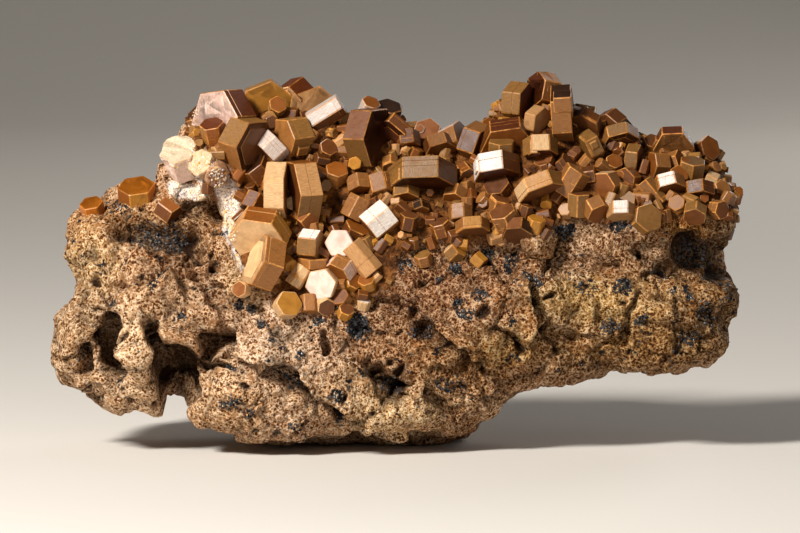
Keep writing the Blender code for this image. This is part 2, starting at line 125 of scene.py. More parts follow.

# Crystals of the crust: x, h, width across corners, thickness, then the way the flat end faces as turn to
# the right and tilt up in degrees, roll about its axis, and how far it stands forward. Last, its faces'
# colours: b the flat ends, u, d, l, r, f the sides that look up, down, left, right and to the front,
# * all others; because they are given by the way each face looks, they paint light and shade as well as
# colour. A rough crystal is broken and frosted.
LEFT_DOME = (
    (-30.1, 56.5, 11.5, 4.8, -43, 0, 22, 0, "b:blush u:russet r:russet d:cream *:blush"),
    (-22.5, 58.6, 10.0, 3.4, 3, -5, 8, -3, "b:golden u:khaki *:ochre"),
    (-20.9, 58.6, 3.4, 2.6, 10, 30, 0, 1, "*:khaki"),
    (-17.6, 60.4, 6.6, 4.2, -41, -24, 20, -3, "b:cream l:cream u:russet *:brown"),
    (-14.4, 57.2, 10.4, 3.0, 3, 5, 10, -2, "b:peach u:russet *:khaki"),
    (-18.2, 53.5, 7.5, 4.4, -53, -5, 30, 1, "b:tan u:khaki d:peach *:khaki"),
    (-12.3, 57.5, 4.4, 6.3, 84, 32, 15, 2, "f:silver u:silver *:brown"),
    (-32.0, 54.4, 4.4, 3.4, -20, 60, 10, 2, "b:russet f:ochre l:khaki *:ochre"),
    (-26.4, 52.4, 10.0, 4.4, 50, -12, 30, 2, "b:rose l:tan u:khaki f:tan d:peach"),
    (-21.7, 51.6, 6.2, 3.2, -80, -43, 0, 2, "*:silver"),
    (-20.9, 43.9, 10.6, 3.5, 84, 0, 0, 2, "*:cream"),
    (-18.1, 41.9, 3.0, 2.0, 10, 10, 0, 1, "*:cream"),
    (-24.4, 47.4, 5.6, 3.2, -60, 50, 20, 0, "b:umber u:brown *:brown"),
    (-25.0, 42.0, 4.4, 3.0, -50, -55, 0, 0, "b:umber *:brown"),
    (-23.8, 36.4, 10.4, 4.1, -15, -32, 38, 2, "b:cream u:ochre r:golden *:peach"),
    (-23.2, 31.6, 10.2, 3.9, -68, 20, 29, 2, "b:cream d:golden l:golden u:ochre *:tan"),
    (-27.0, 26.9, 3.0, 2.0, -30, 10, 0, -0.5, "*:cream"),
    (-19.1, 24.2, 4.9, 2.4, 22, 20, 35, 1, "b:golden *:cream"),
    (-16.8, 43.8, 12.4, 4.1, -70, -2, 30, 1, "b:brown r:peach f:peach u:ochre *:khaki"),
    (-10.6, 46.8, 4.2, 3.1, 10, 50, 0, 0, "u:ochre *:tan"),
    (-6.6, 45.1, 4.6, 2.8, 15, -55, 40, 0, "*:tan"),
    (-2.9, 44.8, 5.2, 3.6, 20, -55, 0, 0, "*:tan"),
    (-3.1, 38.8, 6.2, 4.9, -78, -38, 3, 2, "f:white u:white *:tan"),
    (-7.1, 41.1, 4.6, 4.0, -80, -62, 5, 1, "*:tan"),
    (-16.4, 39.2, 5.0, 3.0, -60, -40, 10, 1, "u:khaki *:ochre"),
    (-15.0, 34.6, 5.8, 3.4, 72, -4, 0, 2, "u:white f:khaki r:ochre *:khaki"),
    (-14.6, 31.7, 6.0, 1.7, 10, 85, 22, 1, "*:tan"),
    (-9.9, 34.9, 5.2, 2.6, -10, 10, 30, 2, "b:blush *:blush"),
    (-7.2, 36.8, 5.0, 3.0, 40, 55, 15, 0, "*:brown"),
    (-6.2, 32.2, 4.6, 6.2, 82, -50, 0, 1, "*:peach"),
    (-17.1, 29.2, 3.4, 3.8, -80, -55, 0, 1, "*:cream"),
    (-13.0, 27.9, 5.8, 2.6, -15, 0, 20, 1, "b:blush *:cream"),
    (-9.9, 30.3, 5.6, 2.8, -40, -38, 0, 1, "u:tan f:khaki *:blush"),
    (-7.8, 28.0, 3.2, 2.0, 30, 30, 0, 0, "*:golden"),
    (-5.2, 28.0, 3.2, 2.0, -20, 50, 0, 0, "*:golden"),
    (-15.3, 24.4, 3.6, 3.0, 8, -70, 25, 0, "*:tan"),
    (-12.6, 24.2, 3.4, 2.0, 20, -20, 0, 0, "*:cream"),
    (-9.6, 25.4, 3.4, 2.0, -30, 30, 20, 0, "*:tan"),
    (-9.0, 23.0, 2.9, 2.0, 20, 40, 0, 0, "*:golden"),
    (-37.4, 49.6, 6.8, 5.8, -15, 40, 10, -3, "rough b:beige u:blush l:blush d:blush *:cream"),
    (-33.6, 48.6, 5.4, 3.6, -30, 20, 0, -2, "rough *:cream"),
    (-31.6, 47.2, 4.4, 3.0, 20, -30, 0, 0, "rough *:tan"),
)
SADDLE = (
    (-4.9, 53.4, 11.3, 4.2, 60, 0, 30, 1, "b:russet f:rose u:rose l:rose d:olive"),
    (-1.2, 53.8, 7.8, 3.0, -25, -25, 15, -1, "b:russet r:ochre u:ochre *:brown"),
    (-4.9, 58.6, 3.6, 2.6, 30, 50, 0, -2, "*:silver"),
    (-1.6, 57.8, 5.0, 2.6, 20, 60, 10, -4, "b:umber *:umber"),
    (-12.2, 51.2, 3.4, 2.4, 20, 30, 0, 1, "b:brown u:silver *:brown"),
    (1.8, 52.9, 4.6, 2.8, 10, -60, 15, 0, "*:brown"),
    (-1.2, 48.7, 3.2, 2.2, 0, -40, 0, 0, "*:tan"),
    (4.4, 46.4, 12.4, 4.0, 0, -65, 25, 1, "b:russet u:khaki f:khaki l:khaki r:brown"),
    (5.3, 54.0, 5.2, 2.6, -10, 35, 10, -2, "*:silver"),
    (7.3, 51.6, 6.2, 2.6, 20, -45, 5, 0, "u:tan *:brown"),
    (10.1, 53.1, 6.0, 3.4, 60, 25, 15, -1, "u:silver r:umber *:tan"),
    (13.7, 52.2, 8.0, 3.4, 60, -15, 15, -1, "u:tan *:brown"),
    (16.0, 55.0, 3.4, 2.2, 20, 40, 0, -2, "*:tan"),
    (19.3, 52.1, 10.5, 3.4, 3, -33, 20, -1, "b:ochre u:russet *:brown"),
    (18.1, 51.2, 4.8, 3.3, 0, 75, 10, 2.5, "d:silver *:khaki"),
    (17.3, 48.0, 8.4, 3.6, 8, -62, 5, 1, "l:white f:white b:russet *:brown"),
    (10.1, 43.2, 4.6, 2.4, -20, -45, 20, 0, "*:tan"),
    (11.7, 47.3, 3.4, 2.4, 30, -30, 0, 0, "*:ochre"),
    (1.4, 43.5, 5.2, 2.8, 0, -50, 10, -1, "*:khaki"),
    (17.6, 44.6, 5.0, 2.4, -30, 40, 20, 0, "*:brown"),
    (17.6, 41.8, 3.8, 2.6, 40, 60, 0, 0, "*:tan"),
    (4.0, 41.0, 3.4, 2.2, 10, -40, 0, -1, "*:umber"),
    (1.9, 38.8, 3.4, 2.6, 30, 68, 0, 0, "*:brown"),
    (11.0, 40.0, 4.4, 2.8, 5, -62, 10, 0.5, "u:cream *:tan"),
    (13.1, 37.8, 6.2, 2.2, 10, -66, 20, 1, "u:golden f:golden *:tan"),
    (7.6, 37.6, 3.6, 2.6, -40, 62, 0, 0, "u:golden *:ochre"),
)
SPIRES = (
    (21.1, 59.5, 7.4, 3.6, 62, -4, 0, -1, "b:russet *:khaki"),
    (25.4, 61.5, 7.0, 3.6, -60, 12, 0, -2, "b:russet *:tan"),
    (28.8, 57.2, 11.0, 3.5, 85, 4, 0, 0, "u:umber *:tan"),
    (24.4, 56.2, 5.6, 2.4, 50, -10, 0, 0.5, "*:peach"),
    (24.9, 51.6, 6.2, 3.0, 5, -65, 25, 1, "f:cream u:cream b:russet *:khaki"),
    (32.7, 55.6, 6.2, 2.4, -25, -35, 6, 0, "*:brown"),
    (33.5, 51.7, 6.2, 2.6, -70, -25, -5, 0, "*:khaki"),
    (38.7, 53.2, 7.0, 2.4, 15, -50, 7, 0.5, "u:khaki b:brown *:tan"),
    (37.3, 55.6, 5.6, 3.0, -40, -20, 10, -2, "*:brown"),
    (30.3, 45.7, 5.0, 5.0, 75, 58, 0, 1, "*:tan"),
    (29.2, 48.4, 4.2, 2.6, 60, 40, 0, -0.5, "*:brown"),
    (24.9, 44.6, 9.0, 2.8, 38, -58, -12, 1, "l:cream f:golden *:khaki"),
    (25.8, 48.9, 3.6, 2.4, -30, 40, 0, 0, "*:ochre"),
    (18.8, 39.2, 5.0, 3.4, -40, 55, 15, 1, "*:tan"),
    (21.0, 37.2, 5.4, 2.4, -10, -50, 20, 0.5, "u:ochre *:umber"),
    (24.0, 38.1, 3.4, 2.8, 30, 66, 0, 0, "*:golden"),
    (31.6, 41.8, 4.2, 4.0, 10, 80, 20, 0, "*:khaki"),
    (33.4, 46.6, 3.8, 2.4, 80, 10, 0, 1, "*:brown"),
    (36.3, 45.0, 5.4, 3.0, -32, -5, 25, 1, "b:ochre u:cream *:tan"),
    (34.7, 40.9, 4.8, 2.6, 30, -40, 0, 0.5, "*:tan"),
    (38.9, 40.5, 5.2, 2.4, 0, -62, 25, 1, "u:white f:white *:peach"),
    (37.6, 48.7, 3.2, 2.2, 10, 40, 0, 0, "*:tan"),
)
RIGHT_BANK = (
    (41.1, 49.6, 5.6, 2.2, 75, -5, 0, 0, "*:khaki"),
    (44.4, 52.0, 4.0, 2.2, 20, 50, 0, -1, "*:tan"),
    (45.4, 48.5, 5.0, 2.8, -68, 5, 30, 1, "b:ochre *:tan"),
    (48.0, 51.9, 7.4, 2.8, 0, -24, 26, 0, "b:tan u:russet *:brown"),
    (53.6, 51.2, 4.8, 3.0, 40, 20, 0, -1, "u:silver *:brown"),
    (48.4, 49.0, 4.2, 2.4, 60, 20, 0, 0, "*:tan"),
    (51.2, 47.8, 4.8, 3.4, 20, 70, 20, 0.5, "f:khaki *:olive"),
    (48.9, 46.6, 3.6, 2.2, 10, 30, 0, 0, "*:tan"),
    (47.3, 44.9, 6.0, 2.6, 15, -50, 5, 1, "u:white f:white b:brown *:tan"),
    (44.4, 43.7, 3.4, 5.0, 75, -50, 0, 0.5, "u:khaki *:tan"),
    (52.5, 44.1, 5.6, 2.4, 5, -62, 5, 1, "u:tan *:brown"),
    (54.7, 45.8, 3.4, 2.2, 80, -20, 0, 0, "*:cream"),
    (56.2, 44.2, 3.4, 2.2, 30, 30, 0, 0, "*:tan"),
    (55.8, 40.8, 3.6, 2.2, 40, 0, 20, 0, "*:tan"),
    (43.4, 39.2, 5.4, 2.2, 20, 20, 15, 0.5, "b:khaki u:cream *:khaki"),
    (51.8, 40.2, 4.4, 2.2, -10, -40, 10, 0.5, "*:khaki"),
    (48.8, 41.6, 3.2, 2.2, -20, 30, 0, 0, "*:tan"),
    (39.9, 45.8, 5.0, 2.4, -35, 0, 10, 0, "*:ochre"),
    (40.2, 42.2, 3.4, 2.2, -20, 30, 0, 0, "u:cream *:khaki"),
)
CRUST = LEFT_DOME + SADDLE + SPIRES + RIGHT_BANK

# Crystals that stand alone in the rock, and their faces' colours, which paint light and shade as the crust's
# do.
LONE = (
    ("crystal_left_end", 4.4, 2.6, -20, 58, 10, "b:orange *:orange"),
    ("crystal_left_shoulder", 6.8, 3.8, -8, 62, 12, "b:orange f:golden l:ochre *:orange"),
    ("crystal_broken_rim", 4.4, 3.4, 58, -30, 0, "l:cream u:ochre *:brown"),
    ("crystal_below_crust", 2.6, 1.8, 30, 60, 0, "b:white *:cream"),
    ("crystal_low_pair_left", 3.6, 2.4, 58, 40, 0, "b:golden l:cream *:khaki"),
    ("crystal_low_pair_right", 3.0, 2.2, 70, -40, 0, "b:ochre *:golden"),
    ("crystal_flat_on_face", 3.2, 2.0, -30, 62, 0, "b:khaki *:tan"),
)

# The rock's relief on the front: from x, h to x, h, the radius round that line, and the height, where a
# hollow is less than 0.
RELIEF = (
    # left end
    (-54.1, 17.2, -54.1, 13.0, 1.2, -3.2),
    (-52.5, 18.9, -51.6, 18.6, 0.9, -2.2),
    (-50.0, 21.0, -48.8, 13.6, 2.0, -4.8),
    (-42.4, 20.8, -40.4, 16.8, 1.7, -4.2),
    (-38.8, 13.6, -38.2, 10.0, 3.8, -5.6),
    (-33.2, 17.2, -29.8, 18.2, 2.0, -4.6),
    (-37.0, 15.4, -29.2, 13.3, 0.8, -2.8),
    (-51.6, 26.4, -50.2, 24.6, 1.0, -1.8),
    (-45.6, 25.0, -44.6, 21.0, 2.2, 1.5),
    (-46.1, 17.6, -45.9, 15.4, 1.9, 2.4),
    (-43.6, 23.0, -42.8, 16.2, 1.3, 1.4),
    (-44.4, 12.4, -42.2, 7.4, 2.3, 2.0),
    (-40.0, 20.2, -30.3, 14.4, 1.4, 2.8),
    (-34.4, 24.6, -32.4, 20.8, 1.8, 1.4),
    (-57.0, 24.0, -56.4, 13.0, 2.2, 1.3),
    (-52.4, 12.2, -47.6, 8.2, 2.0, 1.5),
    (-35.2, 5.6, -34.2, 4.4, 1.5, 1.0),
    (-47.3, 33.8, -38.3, 25.6, 1.8, 2.2),
    (-55.4, 33.8, -52.6, 30.2, 1.8, 1.4),
    (-52.0, 28.2, -48.0, 27.6, 1.1, -1.8),
    (-47.0, 37.0, -36.0, 35.4, 3.0, -3.2),
    (-41.6, 31.6, -35.0, 31.4, 1.7, -2.0),
    (-35.6, 40.6, -31.2, 40.0, 1.6, -2.6),
    (-54.5, 38.2, -50.4, 34.4, 2.0, 1.2),
    (-44.7, 43.8, -39.5, 38.6, 1.5, 0.9),
    (-34.6, 29.0, -30.6, 26.4, 1.4, -2.2),
    (-27.6, 25.4, -26.0, 20.6, 1.2, -1.4),
    (-29.6, 18.8, -28.9, 15.2, 0.8, -2.0),
    # middle
    (-27.0, 8.2, -25.8, 7.0, 5.2, 2.2),
    (-22.6, 12.0, -16.6, 8.8, 1.1, -2.6),
    (-16.6, 8.4, -10.8, 4.2, 0.9, -2.0),
    (-13.0, 19.0, -12.0, 16.2, 0.8, -2.6),
    (-18.0, 21.0, -10.5, 18.4, 1.8, 0.8),
    (-3.4, 24.4, 3.2, 24.0, 1.5, -1.4),
    (-2.8, 12.4, 1.0, 8.8, 2.2, -3.4),
    (-4.8, 14.6, -3.0, 13.4, 1.0, -1.4),
    (-9.8, 6.4, 3.4, 5.4, 3.0, 1.2),
    (-8.8, 13.8, -5.6, 12.4, 2.0, 0.8),
    (3.0, 27.4, 9.4, 25.2, 2.0, 1.0),
    (4.6, 20.2, 11.6, 13.6, 1.7, -1.6),
    (16.4, 20.0, 19.5, 19.2, 0.5, -1.3),
    (19.5, 19.2, 22.2, 16.9, 0.5, -1.3),
    (26.6, 20.8, 26.6, 19.6, 0.8, -2.2),
    (22.0, 35.8, 25.0, 32.6, 1.8, 1.2),
    (13.6, 7.8, 18.8, 5.2, 1.4, 0.9),
    (9.0, 3.6, 12.8, 3.0, 1.6, 0.8),
    (5.4, 9.8, 9.2, 4.6, 1.2, -1.8),
    # right
    (50.8, 33.4, 56.4, 31.8, 3.4, -3.6),
    (42.4, 33.6, 45.6, 31.4, 2.0, -1.4),
    (28.4, 26.0, 45.4, 23.2, 2.4, 1.0),
    (27.0, 19.4, 39.4, 16.8, 1.2, -1.2),
    (44.0, 20.8, 55.0, 18.6, 1.2, -1.2),
    (31.0, 31.6, 38.0, 30.2, 1.6, -1.3),
    (56.6, 24.0, 58.0, 20.0, 1.2, -1.0),
)

# Sharp ledges on the front: from x, h to x, h with the raised side on the left of that way, how far it is
# raised, how far the other side drops, and how far from the edge this fades out.
LEDGES = (
    (-28.4, 19.1, -27.7, 15.0, 0.8, 1.2, 4.0),
    (-27.7, 15.0, -21.2, 13.7, 1.2, 1.6, 5.0),
    (-21.2, 13.7, -17.4, 12.2, 1.3, 2.4, 5.0),
    (-17.4, 12.2, -14.4, 8.2, 1.3, 2.4, 5.0),
    (-14.4, 8.2, -9.9, 5.0, 1.2, 2.0, 5.0),
    (-9.9, 5.0, -6.1, 2.1, 1.0, 1.6, 4.0),
    (3.5, 23.8, 9.0, 18.4, 0.9, 1.8, 6.0),
    (9.0, 18.4, 15.7, 12.9, 1.2, 2.0, 6.0),
    (15.7, 12.9, 22.3, 12.6, 0.6, 1.2, 4.0),
    (22.3, 12.6, 24.4, 19.3, 0.8, 1.6, 5.0),
    (24.4, 19.3, 23.1, 27.6, 1.0, 2.0, 6.0),
    (4.0, 11.1, -2.3, 7.3, 1.0, 1.6, 4.0),
    (56.8, 27.0, 47.2, 29.8, 1.2, 1.4, 4.0),
    (-32.5, 32.5, -43.2, 27.7, 1.0, 1.2, 3.6),
    (28.0, 36.0, 27.0, 30.0, 0.5, 1.0, 3.0),
    (12.0, 29.4, 3.0, 25.8, 0.5, 0.9, 3.0),
)

# Stains and painted light and shade over the front: x, h, half width, half height, colour. The pale
# patches on the left paint the light that falls there, the deepest browns in a hollow, in the recesses,
# under the ledges and towards the right paint shade, and the others are stains.
STAINS_AND_PAINTED_LIGHT = (
    (-57, 17, 5, 10, (0.36, 0.22, 0.11)),
    (-45, 18, 6, 9, (0.62, 0.42, 0.24)),
    (-54, 32, 5, 5, (0.50, 0.32, 0.14)),
    (-50, 40, 8, 4, (0.38, 0.18, 0.06)),
    (-41, 36.4, 6.5, 3.2, (0.12, 0.06, 0.02)),
    (-40, 31.4, 5, 2.4, (0.26, 0.12, 0.05)),
    (-44, 28.4, 5, 2.6, (0.38, 0.20, 0.09)),
    (-33, 41, 3.5, 3, (0.15, 0.07, 0.02)),
    (-33, 36, 4, 4, (0.36, 0.19, 0.08)),
    (-35, 18, 5, 3.0, (0.30, 0.15, 0.06)),
    (-38.4, 12, 4.2, 4.2, (0.19, 0.08, 0.03)),
    (-30, 8, 7, 6, (0.45, 0.27, 0.13)),
    (-18, 15.5, 9, 7, (0.66, 0.46, 0.30)),
    (-9, 21, 6, 4, (0.36, 0.18, 0.08)),
    (-3, 16.6, 10, 6, (0.31, 0.15, 0.06)),
    (0, 24, 8, 4, (0.13, 0.05, 0.02)),
    (-9, 10, 8, 4, (0.48, 0.29, 0.14)),
    (-0.3, 5.9, 8, 4, (0.60, 0.41, 0.20)),
    (10, 15, 9, 7, (0.21, 0.09, 0.02)),
    (13, 25, 9, 4, (0.22, 0.09, 0.03)),
    (9, 30, 13, 3, (0.18, 0.07, 0.02)),
    (-26, 30, 3, 5, (0.50, 0.32, 0.15)),
    (18.8, 16.4, 4.5, 2.8, (0.46, 0.26, 0.07)),
    (16.2, 6.4, 4, 1.8, (0.50, 0.31, 0.16)),
    (24.7, 34.3, 2.6, 3.4, (0.44, 0.24, 0.10)),
    (11, 2.9, 6, 2.6, (0.18, 0.07, 0.02)),
    (31, 11, 5, 2.6, (0.16, 0.06, 0.01)),
    (36, 33, 10, 4, (0.20, 0.09, 0.03)),
    (35, 24.8, 11, 3.2, (0.40, 0.24, 0.07)),
    (42, 17.0, 14, 4.5, (0.18, 0.08, 0.01)),
    (53, 34, 6, 5, (0.12, 0.05, 0.01)),
    (50, 26.4, 8, 3.0, (0.29, 0.14, 0.04)),
    (57, 30, 3, 8, (0.11, 0.05, 0.01)),
    (54, 20, 6, 4, (0.17, 0.08, 0.02)),
    (49.7, 37.6, 4.4, 2.0, (0.40, 0.16, 0.02)),
)

# Patches of black manganese oxide: x, h, half width, half height, how much of it is covered.
OXIDE = (
    (-6.6, 20.3, 2.2, 2.3, 1.0),
    (-9.7, 24.0, 1.5, 1.1, 1.0),
    (-23.5, 21.0, 1.1, 0.7, 0.9),
    (-25.3, 23.5, 0.9, 1.1, 0.9),
    (-27.7, 24.2, 0.8, 0.9, 0.8),
    (-30.2, 37.0, 0.8, 0.7, 0.8),
    (2.0, 31.3, 0.7, 0.6, 0.8),
    (0.6, 30.7, 0.6, 0.9, 0.8),
    (9.9, 30.5, 1.2, 1.2, 0.9),
    (15.9, 33.2, 1.3, 1.0, 0.9),
    (19.2, 31.8, 0.9, 1.1, 0.8),
    (7.2, 28.9, 0.5, 0.5, 0.8),
    (46.2, 40.7, 1.4, 1.0, 0.8),
    (38.6, 38.3, 2.4, 1.1, 0.8),
    (28.6, 36.8, 2.3, 1.3, 0.9),
    (-40.8, 36.2, 5.6, 2.8, 0.45),
    (-49.0, 41.0, 3.0, 1.4, 0.35),
    (-29.2, 7.4, 2.2, 1.4, 0.5),
    (-10.1, 3.7, 0.8, 0.8, 0.8),
    (-1.0, 10.2, 2.2, 1.6, 0.5),
    (37.4, 20.4, 2.4, 1.6, 0.45),
    (52.0, 33.0, 4.5, 2.6, 0.4),
    (24.6, 28.6, 0.9, 1.6, 0.5),
    (12.4, 22.6, 1.4, 1.2, 0.5),
    (-54.4, 15.4, 1.2, 1.6, 0.5),
    (33.0, 27.2, 2.6, 1.2, 0.35),
    (-17.0, 15.3, 0.8, 0.8, 0.9),
    (-21.6, 18.3, 0.6, 0.6, 0.9),
    (-13.6, 21.4, 1.2, 0.9, 0.7),
    (-5.7, 12.3, 0.9, 0.7, 0.9),
    (-8.3, 10.0, 0.7, 0.6, 0.9),
    (-11.0, 8.0, 1.2, 0.9, 0.7),
    (-18.6, 11.0, 2.4, 1.4, 0.55),
    (-28.7, 13.2, 1.6, 0.7, 0.8),
    (-25.8, 5.4, 1.2, 0.9, 0.7),
    (-18.2, 3.2, 1.2, 0.8, 0.5),
    (4.0, 19.6, 2.2, 1.8, 0.5),
    (9.6, 10.6, 3.0, 1.6, 0.4),
    (14.4, 26.0, 1.6, 1.4, 0.5),
    (11.2, 24.8, 1.0, 0.7, 0.8),
    (22.4, 29.2, 1.4, 0.7, 0.7),
    (39.2, 27.6, 1.6, 1.3, 0.6),
    (42.4, 21.6, 1.3, 1.2, 0.7),
    (47.6, 26.6, 0.7, 0.6, 0.9),
    (50.6, 26.2, 0.8, 1.2, 0.7),
    (53.6, 23.4, 1.4, 2.6, 0.5),
    (51.0, 18.4, 2.2, 1.4, 0.5),
    (57.0, 27.0, 1.2, 2.4, 0.5),
    (45.6, 29.6, 1.6, 1.2, 0.6),
    (-57.0, 28.0, 1.2, 0.5, 0.5),
    (-49.6, 24.4, 0.9, 0.9, 0.7),
    (-38.0, 22.6, 1.4, 0.9, 0.6),
)

# The pale broken edge of the crust on its left: from x, h to x, h and its half width.
BROKEN_EDGE = (
    (-39.0, 44.8, -34.0, 43.6, 1.2),
    (-35.8, 52.4, -34.6, 46.4, 1.2),
    (-33.4, 50.0, -30.4, 45.6, 1.9),
    (-30.6, 46.2, -29.0, 41.4, 1.7),
    (-29.0, 41.4, -28.6, 35.8, 1.1),
    (-28.6, 35.8, -27.6, 31.4, 0.7),
    (-35.0, 58.2, -36.0, 54.0, 0.6),
)


class RockSettings(PropertyGroup):
    base_grain: FloatProperty(
        name="Base grain", description="Size of the facets that the rock's skin is first built from",
        default=0.00153, min=0.0008, max=0.004, unit="LENGTH", subtype="DISTANCE")
    block_size: FloatProperty(
        name="Block size", description="Size of the flat breaks that the rock's face is made of",
        default=0.0085, min=0.002, max=0.03, unit="LENGTH", subtype="DISTANCE")
    pore_spacing: FloatProperty(
        name="Pore spacing", description="Distance between the large pores",
        default=0.0036, min=0.001, max=0.02, unit="LENGTH", subtype="DISTANCE")
    pore_depth: FloatProperty(
        name="Pore depth", description="How deep the large pores go",
        default=0.0011, min=0.0, max=0.004, unit="LENGTH", subtype="DISTANCE")
    grain: FloatProperty(
        name="Grain", description="Size of the sandy grains and pinholes",
        default=0.00033, min=0.0001, max=0.003, unit="LENGTH", subtype="DISTANCE")
    tan: FloatVectorProperty(
        name="Rock", description="Colour of the rock where no stain covers it",
        default=(0.46, 0.27, 0.145), size=3, min=0, max=1, subtype="COLOR")
    # pale grains, laid on the walls between the pores as a painted highlight
    pale: FloatVectorProperty(
        name="Pale grains", description="Colour of the pale grains on the high points",
        default=(1.0, 0.96, 0.92), size=3, min=0, max=1, subtype="COLOR")
    # painted shade: the colour that pores, hollows, seams and low places are darkened to
    shade: FloatVectorProperty(
        name="Pores", description="Colour of the iron stain inside the pores",
        default=(0.020, 0.008, 0.003), size=3, min=0, max=1, subtype="COLOR")
    seed: IntProperty(name="Seed", description="Changes the pattern of grains and specks", default=3, min=1)


class CrystalSettings(PropertyGroup):
    rim: FloatProperty(
        name="Rim", description="Width of the bright bevel along a crystal's edges",
        default=0.00016, min=0.00005, max=0.0006, unit="LENGTH", subtype="DISTANCE")
    rim_colour: FloatVectorProperty(
        name="Rim colour", description="Colour of the bevelled edges, where light comes through",
        default=(0.56, 0.20, 0.030), size=3, min=0, max=1, subtype="COLOR")
    stain: FloatVectorProperty(
        name="Stain", description="Colour of the iron film on the faces",
        default=(0.10, 0.032, 0.006), size=3, min=0, max=1, subtype="COLOR")
    druse: IntProperty(
        name="Druse", description="Number of tiny crystals of the druse", default=1500, min=0, max=2200)
    druse_size: FloatProperty(
        name="Druse size", description="Largest width of a crystal of the druse",
        default=0.0026, min=0.0008, max=0.004, unit="LENGTH", subtype="DISTANCE")
    seed: IntProperty(name="Seed", description="Changes the growth steps and the druse", default=11, min=1)


class OxideSettings(PropertyGroup):
    grain: FloatProperty(
        name="Grain", description="Largest radius of a grain of the black oxide",
        default=0.00042, min=0.0001, max=0.0015, unit="LENGTH", subtype="DISTANCE")
    colour: FloatVectorProperty(
        name="Oxide", description="Colour of the black manganese oxide",
        default=(0.010, 0.011, 0.014), size=3, min=0, max=1, subtype="COLOR")
    seed: IntProperty(name="Seed", description="Changes where the grains lie", default=5, min=1)


class StudioSettings(PropertyGroup):
    floor: FloatVectorProperty(
        name="Floor", description="Colour of the floor and backdrop",
        default=(0.70, 0.66, 0.61), size=3, min=0, max=1, subtype="COLOR")
    key: FloatProperty(
        name="Key light", description="Power of the light at the upper left, in watts",
        default=7.9, min=0)
    fill: FloatProperty(
        name="Fill light", description="Power of the light at the right, in watts",
        default=0.85, min=0)
    back: FloatProperty(
        name="Back light", description="Power of the light above and behind, in watts",
        default=2.4, min=0)
    ambient: FloatProperty(
        name="Ambient", description="Strength of the light from all round",
        default=0.08, min=0)


def steady(seed):
    """A piece's own chance. The noise is seeded as well, because otherwise it changes with the clock."""
    noise.seed_set(seed)
    return random.Random(seed)


def along(line, x):
    """The height of a line of (x, value) points at x."""
    for (x0, a), (x1, b) in zip(line, line[1:]):
        if x <= x1:
            return a + (b - a) * max(0.0, x - x0) / (x1 - x0)
    return line[-1][1]


def crust_share(x, h):
    """How far up the crust is, from 0 at its lower edge to 1 at the skyline."""
    low, high = along(FRINGE, x), along(SKYLINE, x)
    return max(-0.25, min(1.15, (h - low) / (high - low)))


def crust_depth(x, h):
    """How far back the crust lies where it is seen at x, h."""
    return along(FRINGE_Y, x) + (along(SKYLINE_Y, x) - along(FRINGE_Y, x)) * crust_share(x, h)


def eye_axes():
    """The eye's place, the way it looks and what is up for it."""
    tilt = math.radians(EYE_HEIGHT_DEG)
    ahead = Vector((0, math.cos(tilt), -math.sin(tilt)))
    up = Vector((0, math.sin(tilt), math.cos(tilt)))
    return Vector((0, 0, EYE_AIM_H)) - ahead * EYE_DISTANCE, ahead, up


def sight(x, h):
    """The eye, and the way it looks towards x, h."""
    eye, ahead, up = eye_axes()
    return eye, ahead * EYE_DISTANCE + Vector((x, 0, 0)) + up * (h - EYE_AIM_H)


def seen_at(x, h, y):
    """The point at depth y that the eye sees at x, h."""
    eye, ray = sight(x, h)
    return eye + ray * ((y - eye.y) / ray.y)


def as_seen(place):
    """Where the eye sees a place, as x, h."""
    eye, ahead, up = eye_axes()
    view = place - CENTRING - eye
    depth = view.dot(ahead) / EYE_DISTANCE
    return view.x / depth, EYE_AIM_H + view.dot(up) / depth


def crystal_matrix(place, turn, tilt, roll):
    """A frame at place whose Z is the crystal's long axis, which faces -Y when turn and tilt are 0."""
    a, b = math.radians(turn), math.radians(tilt)
    axis = Vector((math.sin(a) * math.cos(b), -math.cos(a) * math.cos(b), math.sin(b)))
    side = Vector((math.cos(a), math.sin(a), 0))
    upward = axis.cross(side)
    turned = Matrix((side, upward, axis)).transposed().to_4x4()
    return Matrix.Translation(place) @ turned @ Matrix.Rotation(math.radians(-roll), 4, "Z")


BACK_SEED, BACK_SPACING = 7, 5            # the crystals behind the crest: their chance, and mm between them


def back_crystals():
    """The crust goes on over the crest, where it is smaller and thins out down the back."""
    chance = random.Random(BACK_SEED)
    found = []
    for x in range(-33, 56, BACK_SPACING):
        for row in range(2):
            place_x = x + chance.uniform(-1.5, 1.5)
            drop = 2.0 + 4.5 * row + chance.uniform(-1, 1)
            h = along(SKYLINE, place_x) - 3.5 - drop
            forward = -(4.0 + 1.1 * drop) - 3
            across = chance.uniform(4.0, 8.0) - row
            turn, tilt = chance.uniform(-80, 80), chance.uniform(10, 80)
            found.append((place_x, h, across, across * chance.uniform(0.35, 0.6), turn, tilt,
                          chance.uniform(0, 60), forward, ""))
    return tuple(found)


def crust_crystals():
    """The crust's crystals, as (matrix, width, thickness, root's middle, the way in to the rock, colours)."""
    found = []
    for x, h, across, thick, turn, tilt, roll, forward, look in CRUST + back_crystals():
        place = seen_at(x, h, crust_depth(x, h) - forward)
        slope = math.radians(10 + 55 * crust_share(x, h) if forward > -4 else 75)
        inward = Vector((0, math.cos(slope), -math.sin(slope)))
        root = place + inward * (across / 3 + 1.2) + CENTRING
        found.append((crystal_matrix(place + CENTRING, turn, tilt, roll), across, thick, root, inward, look))
    return found


def lone_crystals():
    """The crystals that stand alone, as (node, matrix, width, thickness, colours), where their solids are."""
    found = []
    for node, across, thick, turn, tilt, roll, look in LONE:
        low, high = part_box(node)
        middle = (low + high) / 2 / MM
        found.append((node, crystal_matrix(middle, turn, tilt, roll), across, thick, look))
    return found


